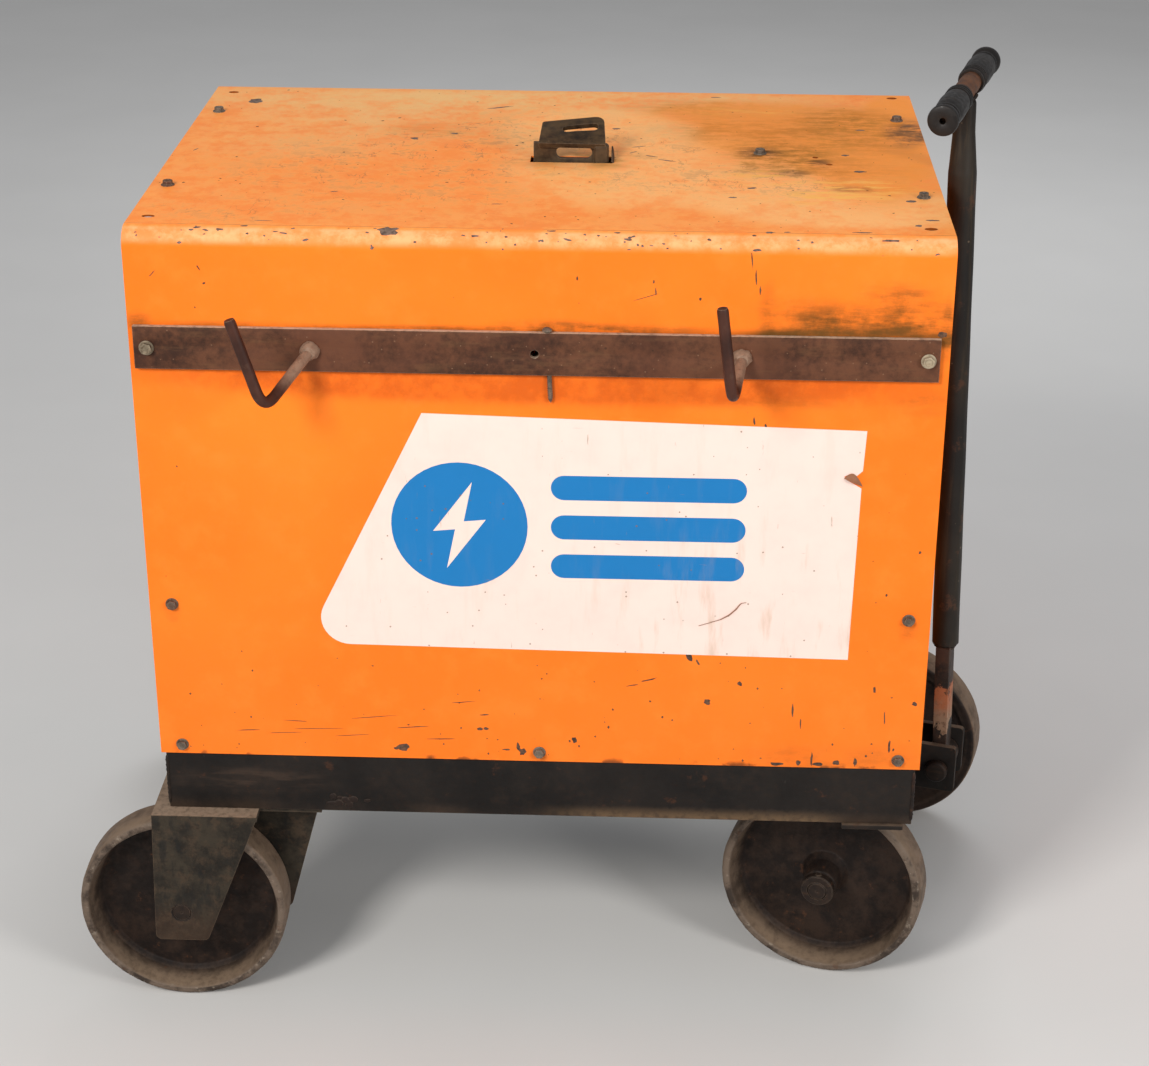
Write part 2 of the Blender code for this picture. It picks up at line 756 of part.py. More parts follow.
def make_tongue(tongue):
    bar = box(
        "tongue_foot", (-0.007, -0.0150, 0.004), (0.007, 0.0150, TUBE_FOOT - GAP), RUSTED, parent=tongue,
        at=(0, 0, 0),
    )
    eye = rod("tongue_eye", 0.0150, 0.0370, (0, 0, 0), "Y", None, tongue)
    pin_bore = rod("tongue_eye_bore", TONGUE_PIN_R + GAP, 0.1, (0, 0, 0), "Y", None, tongue, segments=28)
    spigot = rod(
        "tongue_spigot", 0.0100, 0.055, (0, 0, TUBE_FOOT + 0.0225), "Z", None, tongue, segments=28,
    )
    join(bar, eye, spigot)
    cut(bar, pin_bore)
    shoulder = TONGUE_LENGTH - 0.082
    neck_top = TONGUE_LENGTH - CROSSBAR_R - 0.0005
    turned(
        "tongue_tube",
        (
            (0.0, neck_top), (NECK_R, neck_top), (NECK_R, TONGUE_LENGTH - 0.040), (TUBE_R, shoulder),
            (TUBE_R, TUBE_FOOT), (0.0105, TUBE_FOOT), (0.0105, TUBE_FOOT + 0.060),
            (0.0, TUBE_FOOT + 0.060),
        ),
        (0, 0, 0), "Z", RUSTED, tongue, steps=32,
    )
    rod("tongue_crossbar", CROSSBAR_R, 0.2100, (0, 0, TONGUE_LENGTH), "Y", RUSTED, tongue, segments=32)
    for side, flip in (("near", False), ("far", True)):
        make_grip(f"grip_{side}", tongue, flip)


def make_grip(name, tongue, far):
    """A moulded grip: an end collar, a narrow neck and a long swell that tapers inwards."""
    inner, wall = CROSSBAR_R + 0.0004, 0.0022
    top = 0.117
    outer = [
        (0.0134, top), (0.0140, top - 0.002), (0.0140, top - 0.009), (0.0124, top - 0.011),
        (0.0121, top - 0.018),
        (0.0132, top - 0.028), (0.0137, top - 0.043), (0.0131, top - 0.060), (inner + wall, top - 0.078),
        (inner + wall, top - 0.088),
    ]
    hollow = [(inner, top - 0.088), (inner, top - 0.011), (0.0030, top - 0.011), (0.0030, top)]
    turned(
        name, outer + hollow, (0, 0, TONGUE_LENGTH), "Y", GRIP, tongue, closed=True, steps=24,
        flip=not far,
    )


# ---------------------------------------------------------------- inside the case

FAN_Z = CASE_Z + 0.260
GLAND = (Y0 + 0.420, CASE_Z + 0.060)
INSIDE_Z = CASE_Z + 0.002 + GAP
CORE_X = X0 + 0.400


def make_transformer():
    """A three-leg laminated core with one coil round each leg."""
    half_stack, half_leg, pitch, yoke = 0.045, 0.027, 0.108, 0.045
    low, high = INSIDE_Z, INSIDE_Z + 0.240
    reach = pitch + half_leg
    core = box(
        "transformer_core", (CORE_X - reach, MID_Y - half_stack, low),
        (CORE_X + reach, MID_Y + half_stack, high), CORE
    )
    for sign in (-1, 1):
        window = box(
            f"core_window_{sign + 1}",
            (CORE_X + sign * pitch / 2 - pitch / 2 + half_leg, MID_Y - 0.1, low + yoke),
            (CORE_X + sign * pitch / 2 + pitch / 2 - half_leg, MID_Y + 0.1, high - yoke), None,
        )
        cut(core, window)
    build = 0.024
    for name, x in (("left", CORE_X - pitch), ("middle", CORE_X), ("right", CORE_X + pitch)):
        coil = box(
            f"coil_{name}",
            (x - half_leg - build, MID_Y - half_stack - build, low + yoke + 0.002),
            (x + half_leg + build, MID_Y + half_stack + build, high - yoke - 0.002), COPPER, bevel=0.010,
        )
        inside = box(
            f"coil_{name}_inside", (x - half_leg - 0.0005, MID_Y - half_stack - 0.0005, low),
            (x + half_leg + 0.0005, MID_Y + half_stack + 0.0005, high), None,
        )
        cut(coil, inside)


def make_choke():
    """The output inductor: a slab core with its winding round the middle."""
    x, y = X0 + 0.170, Y0 + 0.350
    box("choke_core", (x - 0.070, y - 0.030, INSIDE_Z), (x + 0.070, y + 0.030, INSIDE_Z + 0.080), CORE)
    coil = box(
        "choke_coil", (x - 0.045, y - 0.055, INSIDE_Z + 0.0005), (x + 0.045, y + 0.055, INSIDE_Z + 0.105),
        COPPER, bevel=0.012,
    )
    cut(
        coil,
        box(
            "choke_inside", (x - 0.06, y - 0.0305, INSIDE_Z - 0.02),
            (x + 0.06, y + 0.0305, INSIDE_Z + 0.0805), None,
        ),
    )


def make_rectifier():
    """The output rectifier's finned heat sink."""
    x, y, length, width = X0 + 0.165, Y0 + 0.140, 0.150, 0.120
    sink = box(
        "rectifier_heatsink", (x - length / 2, y - width / 2, INSIDE_Z),
        (x + length / 2, y + width / 2, INSIDE_Z + 0.110), ALUMINIUM
    )
    pitch = width / SINK_FINS
    for number in range(SINK_FINS - 1):
        middle = y - width / 2 + pitch * (number + 1)
        slot = box(
            f"sink_slot_{number}", (x - 0.1, middle - pitch * 0.36, INSIDE_Z + 0.012),
            (x + 0.1, middle + pitch * 0.36, INSIDE_Z + 0.2), None
        )
        cut(sink, slot)


def make_control_transformer():
    x, y = X0 + 0.550, Y0 + 0.440
    box(
        "control_transformer", (x - 0.030, y - 0.030, INSIDE_Z), (x + 0.030, y + 0.030, INSIDE_Z + 0.070),
        CORE, bevel=0.003,
    )


CONTACTOR = (X0 + 0.620, Y0 + 0.090)
ARMATURE_TRAVEL = 0.004


def make_contactor():
    """The supply contactor: a moulded body with a well, and the armature that is pulled down into it."""
    x, y = CONTACTOR
    top = INSIDE_Z + 0.075
    body = box(
        "contactor_body", (x - 0.035, y - 0.030, INSIDE_Z), (x + 0.035, y + 0.030, top), BLACK,
        bevel=0.002,
    )
    cut(
        body,
        box(
            "contactor_well", (x - 0.0205, y - 0.0155, top - 0.030), (x + 0.0205, y + 0.0155, top + 0.01),
            None,
        ),
    )
    low = top - 0.030 + ARMATURE_TRAVEL + 0.0005
    box("contactor_armature", (-0.020, -0.015, 0), (0.020, 0.015, 0.032), CORE, at=(x, y, low))


def make_fan():
    """Motor on a bracket, the fan and the ring that it runs in."""
    motor_x = X0 + 0.560
    motor = rod("fan_motor", 0.038, 0.060, (motor_x + 0.030, MID_Y, FAN_Z), "X", BLACK, segments=32)
    shaft = rod("fan_shaft", 0.0040, 0.100, (motor_x + 0.070, MID_Y, FAN_Z), "X", None, segments=20)
    arm = box(
        "fan_arm", (motor_x + 0.010, MID_Y - 0.150, FAN_Z - 0.012),
        (motor_x + 0.018, MID_Y + 0.150, FAN_Z + 0.012), None,
    )
    join(motor, shaft, arm)
    for sign in (-1, 1):
        strut = box(
            f"fan_strut_{sign + 1}",
            (motor_x + 0.010, MID_Y + sign * 0.146 - 0.004, FAN_Z - 0.012),
            (motor_x + 0.105 - GAP, MID_Y + sign * 0.146 + 0.004, FAN_Z + 0.012), None,
        )
        join(motor, strut)
    ring_x = motor_x + 0.105
    ring = box(
        "fan_shroud", (ring_x, MID_Y - 0.160, FAN_Z - 0.160),
        (ring_x + 0.002, MID_Y + 0.160, FAN_Z + 0.160), FRAME_PAINT
    )
    lip = rod("fan_lip", 0.125, 0.030, (ring_x - 0.011, MID_Y, FAN_Z), "X", None)
    throat = rod("fan_throat", 0.122, 0.100, (ring_x, MID_Y, FAN_Z), "X", None)
    join(ring, lip)
    cut(ring, throat)
    hub_x = ring_x - 0.012
    fan = rod("fan_blade", 0.022, 0.024, (hub_x, MID_Y, FAN_Z), "X", ALUMINIUM, segments=28)
    fan.rotation_euler = (0, pi / 2, 0)
    for number in range(FAN_BLADES):
        angle = 2 * pi * number / FAN_BLADES
        blade = box(
            f"blade_{number}", (-0.001, 0.015, -0.032), (0.001, 0.115, 0.032), None,
            at=(hub_x, MID_Y, FAN_Z),
        )
        spoke = Matrix.Rotation(angle, 3, "X")
        pitched = Matrix.Rotation(radians(62), 3, "Y")
        blade.rotation_euler = (spoke @ pitched).to_euler()
        join(fan, blade)
    cut(fan, rod("fan_bore", 0.0044, 0.1, (hub_x, MID_Y, FAN_Z), "X", None, segments=20))


# ---------------------------------------------------------------- controls, as (Y, Z) on the front panel

VOLTMETER = (Y0 + 0.350, CASE_Z + 0.420)
AMMETER = (Y0 + 0.150, CASE_Z + 0.420)
LAMP_AT = (MID_Y, CASE_Z + 0.455)
KNOB = (MID_Y, CASE_Z + 0.300)
SWITCH = (Y0 + 0.120, CASE_Z + 0.280)
RECEPTACLE = (Y0 + 0.385, CASE_Z + 0.280)
OUTPUT = (MID_Y, CASE_Z + 0.110)
METER_REST = radians(-45)


def make_meter(name, where):
    """A round panel meter: a flanged case with an open face, the glass in its flange, and the pointer."""
    y, z = where
    face = FRONT_X - GAP
    turned(
        f"{name}_case",
        (
            (0.0, 0.040), (METER_BARREL_R, 0.040), (METER_BARREL_R, 0.0),
            (0.0420, 0.0), (0.0420, -0.009), (0.0400, -0.012),
            (0.0350, -0.012), (0.0350, -0.0085), (0.0320, -0.0085), (0.0320, 0.006), (0.0, 0.006),
        ),
        (face, y, z), "X", BLACK, steps=28,
    )
    rod(f"{name}_glass", 0.0347, 0.0022, (face - 0.0099, y, z), "X", GLASS, segments=32)
    needle = box(
        f"{name}_pointer", (-0.0010, -0.0008, -0.006), (0.0, 0.0008, 0.027), RED,
        at=(face - 0.001, y, z - METER_HUB_DROP),
    )
    needle.rotation_euler = (METER_REST, 0, 0)
    hub = rod(
        f"{name}_hub", 0.0035, 0.0060, (face + 0.0013, y, z - METER_HUB_DROP), "X", None, segments=16,
    )
    join(needle, hub)


def make_knob():
    """The voltage control: a fluted knob on its spindle, and the rheostat behind the panel."""
    y, z = KNOB
    knob = turned(
        "voltage_knob",
        (
            (0.0, 0.044), (0.0195, 0.044), (0.0215, 0.042), (0.0245, 0.026), (0.0240, 0.021),
            (SPINDLE_R, 0.021), (SPINDLE_R, 0.0), (0.0, 0.0),
        ),
        (FRONT_X + 0.020, y, z), "X", BLACK, steps=28, flip=True,
    )
    mark = box(
        "knob_mark", (-0.0455, -0.0010, 0.006), (-0.0430, 0.0010, 0.0200), None,
        at=(FRONT_X + 0.020, y, z),
    )
    join(knob, mark)
    rheostat = rod(
        "voltage_rheostat", 0.032, 0.024, (FRONT_X + PANEL_T + GAP + 0.012, y, z), "X", BOARD,
        segments=32,
    )
    cut(rheostat, rod("rheostat_bore", SPINDLE_R + 0.0006, 0.1, (FRONT_X, y, z), "X", None, segments=28))


def make_switch():
    """The mains toggle: a moulded body with a slot, and the lever that tips in it."""
    y, z = SWITCH
    body = box(
        "power_switch_body", (FRONT_X - 0.003, y - 0.0125, z - 0.0185),
        (FRONT_X + 0.030, y + 0.0125, z + 0.0185), BLACK, bevel=0.001,
    )
    join(
        body,
        box(
            "switch_bezel", (FRONT_X - 0.0035, y - 0.018, z - 0.026),
            (FRONT_X - GAP, y + 0.018, z + 0.026), None,
        ),
    )
    cut(
        body,
        box(
            "switch_slot", (FRONT_X - 0.02, y - 0.0050, z - 0.0130),
            (FRONT_X + 0.014, y + 0.0050, z + 0.0130), None,
        ),
    )
    lever = box(
        "power_switch_lever", (-0.0310, -0.0040, -0.0035), (0.0, 0.0040, 0.0035), STEEL, bevel=0.0015,
        at=(FRONT_X + 0.008, y, z),
    )
    join(lever, rod("lever_pivot", 0.0045, 0.0080, (FRONT_X + 0.008, y, z), "Y", None, segments=20))
    lever.rotation_euler = (0, radians(-20), 0)


def make_lamp():
    y, z = LAMP_AT
    turned(
        "pilot_lamp",
        (
            (0.0, 0.020), (0.0070, 0.020), (0.0070, 0.0), (0.0105, 0.0), (0.0105, -0.003),
            (0.0080, -0.004), (0.0072, -0.009), (0.0040, -0.0125), (0.0, -0.0135),
        ),
        (FRONT_X - GAP, y, z), "X", LAMP, steps=24,
    )


def make_receptacle():
    """The remote-control socket: a screwed shell with a keyed plug face."""
    y, z = RECEPTACLE
    turned(
        "control_receptacle",
        (
            (0.0, 0.022), (0.0140, 0.022), (0.0140, 0.0), (0.0200, 0.0), (0.0200, -0.003),
            (0.0150, -0.003), (0.0150, -0.014), (0.0130, -0.014), (0.0130, -0.011), (0.0, -0.011),
        ),
        (FRONT_X - GAP, y, z), "X", STEEL, steps=20,
    )


def make_output():
    """The insulating board behind the panel's lower opening, and its two output studs with their nuts."""
    y, z = OUTPUT
    board = box(
        "output_terminal_board",
        (FRONT_X + PANEL_T + GAP, y - 0.110, z - 0.060),
        (FRONT_X + PANEL_T + 0.010, y + 0.110, z + 0.060), BOARD,
    )
    for name, offset in (("negative", -0.050), ("positive", 0.050)):
        stud_y = y + offset
        cut(
            board,
            rod(f"stud_bore_{name}", STUD_R + GAP, 0.05, (FRONT_X, stud_y, z), "X", None, segments=24),
        )
        stud = rod(
            f"output_stud_{name}", STUD_R, 0.060, (FRONT_X + 0.004, stud_y, z), "X", BRASS, segments=24,
        )
        nut = rod(
            f"stud_nut_{name}", 0.0110, 0.0095, (FRONT_X - 0.0035, stud_y, z), "X", None, segments=6,
        )
        washer = rod(
            f"stud_washer_{name}", 0.0140, 0.0020, (FRONT_X + PANEL_T - 0.0015, stud_y, z), "X", None,
            segments=24,
        )
        join(stud, nut, washer)


def make_gland():
    """The supply cable's compression gland in the rear panel, with its through hole."""
    y, z = GLAND
    outside = REAR_X + PANEL_T + GAP
    turned(
        "supply_gland",
        (
            (0.0085, -0.012), (0.0085, 0.0200), (0.0130, 0.0200), (0.0160, 0.0155), (0.0160, 0.007),
            (0.0175, 0.006), (0.0175, 0.0), (GLAND_BARREL_R, 0.0), (GLAND_BARREL_R, -0.012),
        ),
        (outside, y, z), "X", BLACK, closed=True, steps=20,
    )


def build():
    make_base_frame()
    make_floor_pan()
    make_case_wrapper()
    make_front_panel()
    make_rear_panel()
    make_lifting_frame()
    make_lifting_eye()
    make_hook_strap()
    for name, x in zip(("strap_bolt_left", "strap_bolt_right"), BOLT_XS):
        make_strap_bolt(name, x)
    make_cable_hook("cable_hook_left", HOOK_XS[0], (-0.031, -0.070, -0.029), (-0.056, -0.070, 0.053))
    make_cable_hook("cable_hook_right", HOOK_XS[1], (-0.009, -0.067, -0.016), (-0.020, -0.067, 0.0695))
    make_fixed_saddle()
    make_fixed_axle()
    inset = WHEEL_W / 2 - WHEEL_IN
    make_wheel("fixed_wheel_near", (FIXED_X, Y0 + inset, AXLE_Z), True)
    make_wheel("fixed_wheel_far", (FIXED_X, Y0 + CASE_D - inset, AXLE_Z), False)
    make_steer_top_plate()
    make_kingpin()
    steer = pivot("steering_pivot", (STEER_X, STEER_Y, 0), (0, 0, STEER_YAW))
    make_bolster(steer)
    make_steer_axle(steer)
    half_track = STEER_TRACK - WHEEL_W / 2
    make_wheel("steer_wheel_near", (0, -half_track, AXLE_Z), True, steer)
    make_wheel("steer_wheel_far", (0, half_track, AXLE_Z), False, steer)
    make_tongue_pin(steer)
    tongue = pivot("tongue_pivot", (PIN_AHEAD, 0, PIN_Z), (0, TONGUE_LEAN, 0), steer)
    make_tongue(tongue)
    make_transformer()
    make_choke()
    make_rectifier()
    make_control_transformer()
    make_contactor()
    make_fan()
    make_meter("voltmeter", VOLTMETER)
    make_meter("ammeter", AMMETER)
    make_knob()
    make_switch()
    make_lamp()
    make_receptacle()
    make_output()
    make_gland()


build()
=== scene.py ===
import json
import random
from math import atan2, cos, pi, radians, sin

import bmesh
import bpy
import numpy as np
from mathutils import Matrix, Vector, noise


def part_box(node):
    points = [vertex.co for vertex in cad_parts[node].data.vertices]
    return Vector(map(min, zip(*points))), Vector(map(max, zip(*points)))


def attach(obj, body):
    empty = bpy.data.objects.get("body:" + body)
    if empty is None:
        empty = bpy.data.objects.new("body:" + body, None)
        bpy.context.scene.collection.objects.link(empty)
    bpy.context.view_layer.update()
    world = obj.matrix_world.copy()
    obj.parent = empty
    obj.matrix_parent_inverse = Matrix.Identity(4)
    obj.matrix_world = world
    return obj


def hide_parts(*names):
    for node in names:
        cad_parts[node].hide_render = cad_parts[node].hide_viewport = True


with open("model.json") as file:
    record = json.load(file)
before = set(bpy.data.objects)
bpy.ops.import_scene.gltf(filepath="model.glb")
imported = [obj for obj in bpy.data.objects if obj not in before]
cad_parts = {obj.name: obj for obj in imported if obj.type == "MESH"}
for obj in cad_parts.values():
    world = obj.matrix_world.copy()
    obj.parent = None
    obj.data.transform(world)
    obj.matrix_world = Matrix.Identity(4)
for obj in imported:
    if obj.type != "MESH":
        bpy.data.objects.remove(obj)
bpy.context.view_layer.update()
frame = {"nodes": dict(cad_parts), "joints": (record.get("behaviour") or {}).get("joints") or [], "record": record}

BODIES = frame["record"]["behaviour"]["bodies"]
BODY_OF = {node: body for body, nodes in BODIES.items() for node in nodes}
SLOT_OF = {part["node"]: part["material_slot"] for part in frame["record"]["subparts"]}
SHOWN_BY = {}

# ---------------------------------------------------------------- places, from the frame

CASE_LOW, CASE_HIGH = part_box("case_wrapper")
NEAR, FAR = CASE_LOW.y, CASE_HIGH.y
LEFT, RIGHT = CASE_LOW.x, CASE_HIGH.x
FLOOR_OF_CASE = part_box("floor_pan")[0].z
TOP = CASE_HIGH.z
MID_Y = (NEAR + FAR) / 2
BEND = 0.0175
SHEET = 0.0016
PANEL_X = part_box("front_panel")[0].x
REAR_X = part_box("rear_panel")[1].x
STRAP_LOW, STRAP_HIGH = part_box("hook_strap")
EYE_LOW, EYE_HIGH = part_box("lifting_eye")
JOINTS = {joint["name"]: joint for joint in frame["joints"]}
PITCH = JOINTS["tongue_pitch"]
STEER_YAW = atan2(-PITCH["axis"][0], PITCH["axis"][1])
TONGUE_LEAN = radians(-2.1)
KINGPIN = Vector(JOINTS["steering_yaw"]["pos_m"])
YAWED = Matrix.Rotation(STEER_YAW, 4, "Z")
STEER = Matrix.Translation((KINGPIN.x, KINGPIN.y, 0)) @ YAWED
TONGUE = Matrix.Translation(PITCH["pos_m"]) @ YAWED @ Matrix.Rotation(TONGUE_LEAN, 4, "Y")


def on_case(x, y=0.0, z=0.0):
    """A point from millimetres along, across and above the case's lower near left corner."""
    return Vector((LEFT + x / 1000, NEAR + y / 1000, FLOOR_OF_CASE + z / 1000))


# ---------------------------------------------------------------- materials


class Nodes:
    """A Principled material whose node tree is written as expressions in object space."""

    def __init__(self, name):
        self.material = bpy.data.materials.new(name)
        self.material.use_nodes = True
        self.tree = self.material.node_tree
        self.shader = self.tree.nodes["Principled BSDF"]
        coordinates = self.add("ShaderNodeTexCoord")
        self.where = coordinates.outputs["Object"]
        normal = self.add("ShaderNodeSeparateXYZ", {0: coordinates.outputs["Normal"]})
        self.up = normal.outputs["Z"]
        place = self.add("ShaderNodeSeparateXYZ", {0: self.where})
        self.x, self.y, self.z = place.outputs

    def add(self, kind, inputs=None, **settings):
        node = self.tree.nodes.new(kind)
        for key, value in settings.items():
            setattr(node, key, value)
        for key, value in (inputs or {}).items():
            self.put(node.inputs[key], value)
        return node

    def put(self, socket, value):
        if isinstance(value, bpy.types.NodeSocket):
            self.tree.links.new(value, socket)
        else:
            socket.default_value = value

    def math(self, operation, a, b=0.0, clamp=False):
        return self.add("ShaderNodeMath", {0: a, 1: b}, operation=operation, use_clamp=clamp).outputs[0]

    def times(self, a, b):
        return self.math("MULTIPLY", a, b)

    def plus(self, a, b, clamp=False):
        return self.math("ADD", a, b, clamp)

    def minus(self, a, b):
        return self.math("SUBTRACT", a, b)

    def apart(self, a, b):
        return self.math("ABSOLUTE", self.minus(a, b))

    def most(self, a, b):
        return self.math("MAXIMUM", a, b)

    def spread(self, value, low, high, start=0.0, end=1.0):
        """A smooth step from start at low to end at high."""
        inputs = {"Value": value, "From Min": low, "From Max": high, "To Min": start, "To Max": end}
        return self.add("ShaderNodeMapRange", inputs, interpolation_type="SMOOTHSTEP").outputs["Result"]

    def stretched(self, scale, turn=(0, 0, 0)):
        inputs = {"Vector": self.where, "Scale": scale, "Rotation": turn}
        return self.add("ShaderNodeMapping", inputs).outputs["Vector"]

    def noise(self, scale, detail=4.0, rough=0.55, where=None):
        inputs = {"Vector": where or self.where, "Scale": scale, "Detail": detail, "Roughness": rough}
        return self.add("ShaderNodeTexNoise", inputs).outputs["Fac"]

    def drawn(self, scales, detail, rough, turn=(0, 0, 0)):
        """Noise with a scale for each axis, so that it lies in strokes."""
        return self.noise(1.0, detail, rough, self.stretched(scales, turn))

    def specks(self, scale, share, size):
        """Round specks in a share of the cells, with sizes that differ."""
        cells = self.add("ShaderNodeTexVoronoi", {"Vector": self.where, "Scale": scale})
        pick = self.add("ShaderNodeSeparateColor", {0: cells.outputs["Color"]})
        chosen = self.spread(pick.outputs[0], 1 - share, 1 - share + 0.02)
        reach = self.times(pick.outputs[1], size)
        inside = self.math("LESS_THAN", cells.outputs["Distance"], reach)
        return self.times(chosen, inside)

    def hairlines(self, where, width, detail=2.0):
        """Thin curving lines, where a noise passes through its middle value, broken up by another noise."""
        level = self.apart(self.noise(1.0, detail, 0.5, where), 0.5)
        line = self.spread(level, 0.0, width, 1.0, 0.0)
        return self.times(line, self.spread(self.noise(37.0, 3.0), 0.46, 0.58))

    def patch(self, centre, radii):
        """1 at the centre, falling to 0 on an ellipsoid with those radii."""
        scaled = self.vector("DIVIDE", self.vector("SUBTRACT", self.where, centre)[0], radii)[0]
        return self.spread(self.vector("LENGTH", scaled)["Value"], 0.15, 1.0, 1.0, 0.0)

    def patches(self, places):
        """The sum of patches given as centre, radii and strength."""
        total = 0.0
        for centre, radii, strength in places:
            total = self.plus(self.times(self.patch(centre, radii), strength), total, True)
        return total

    def vector(self, operation, a, b=(0, 0, 0)):
        return self.add("ShaderNodeVectorMath", {0: a, 1: b}, operation=operation).outputs

    def mix(self, factor, a, b):
        """The colour between a and b. Each is a socket, or red, green and blue."""
        node = self.add("ShaderNodeMix", data_type="RGBA")
        self.put(node.inputs["Factor"], factor)
        for socket, colour in ((node.inputs[6], a), (node.inputs[7], b)):
            self.put(socket, colour if isinstance(colour, bpy.types.NodeSocket) else (*colour, 1.0))
        return node.outputs[2]

    def paint(self, colour, *factors):
        """Lays a colour over what is there, as strongly as the factors' product."""
        strength = factors[0]
        for factor in factors[1:]:
            strength = self.times(strength, factor)
        self.colour = self.mix(strength, self.colour, colour)

    def worn_edges(self, radius=0.0012, low=0.02, high=0.14):
        """High along outside edges, from how far a rounded normal turns away from the face's own."""
        soft = self.add("ShaderNodeBevel", {"Radius": radius}, samples=4)
        flat = self.add("ShaderNodeNewGeometry")
        dot = self.vector("DOT_PRODUCT", soft.outputs[0], flat.outputs["Normal"])["Value"]
        return self.spread(self.minus(1.0, dot), low, high)

    def bump(self, *layers):
        """Bump from (height, distance in metres) layers."""
        normal = None
        for height, distance in layers:
            inputs = {"Height": height, "Distance": distance, "Strength": 1.0}
            if normal:
                inputs["Normal"] = normal
            normal = self.add("ShaderNodeBump", inputs).outputs["Normal"]
        self.put(self.shader.inputs["Normal"], normal)

    def finish(self, roughness, metallic=0.0, specular=0.5):
        """Joins the colour painted so far and the gloss to the shader."""
        self.put(self.shader.inputs["Base Color"], self.colour)
        self.put(self.shader.inputs["Roughness"], roughness)
        self.put(self.shader.inputs["Metallic"], metallic)
        self.shader.inputs["Specular IOR Level"].default_value = specular
        return self.material


RUST = (0.115, 0.042, 0.016)
DARK_RUST = (0.035, 0.017, 0.010)

# The holes punched in the top: x, y and both half sizes in millimetres. Painted shade darkens the paint round
# each out to HOLE_SHADE times their size.
TOP_HOLES = ((17, 38, 5.5, 3.6), (700, 35, 5.5, 3.6), (20, 465, 5.0, 3.6), (701, 476, 5.0, 3.6),
             (611, 253, 2.6, 2.6), (623, 230, 3.0, 2.2))
HOLE_SHADE = 1.5
# The hole in the case that shows through the strap's middle one.
STRAP_HOLE = on_case(358, 0, 413.3)


def on_top(x, y):
    """A point on the case's top, from millimetres along and across it."""
    return Vector((LEFT + x / 1000, NEAR + y / 1000, TOP))


PATCH_DEPTH = 0.03


def top_patches(n, rows):
    """Soft patches on the top. Each row has x, y and both half sizes in millimetres, and a strength."""
    return n.patches([
        (on_top(x, y), (half_x / 1000, half_y / 1000, PATCH_DEPTH), strength)
        for x, y, half_x, half_y, strength in rows
    ])


def side_patches(n, rows):
    """Soft patches on the near side. Each row has x, height and both half sizes, and a strength."""
    return n.patches([
        (on_case(x, 0, z), (half_x / 1000, PATCH_DEPTH, half_z / 1000), strength)
        for x, z, half_x, half_z, strength in rows
    ])


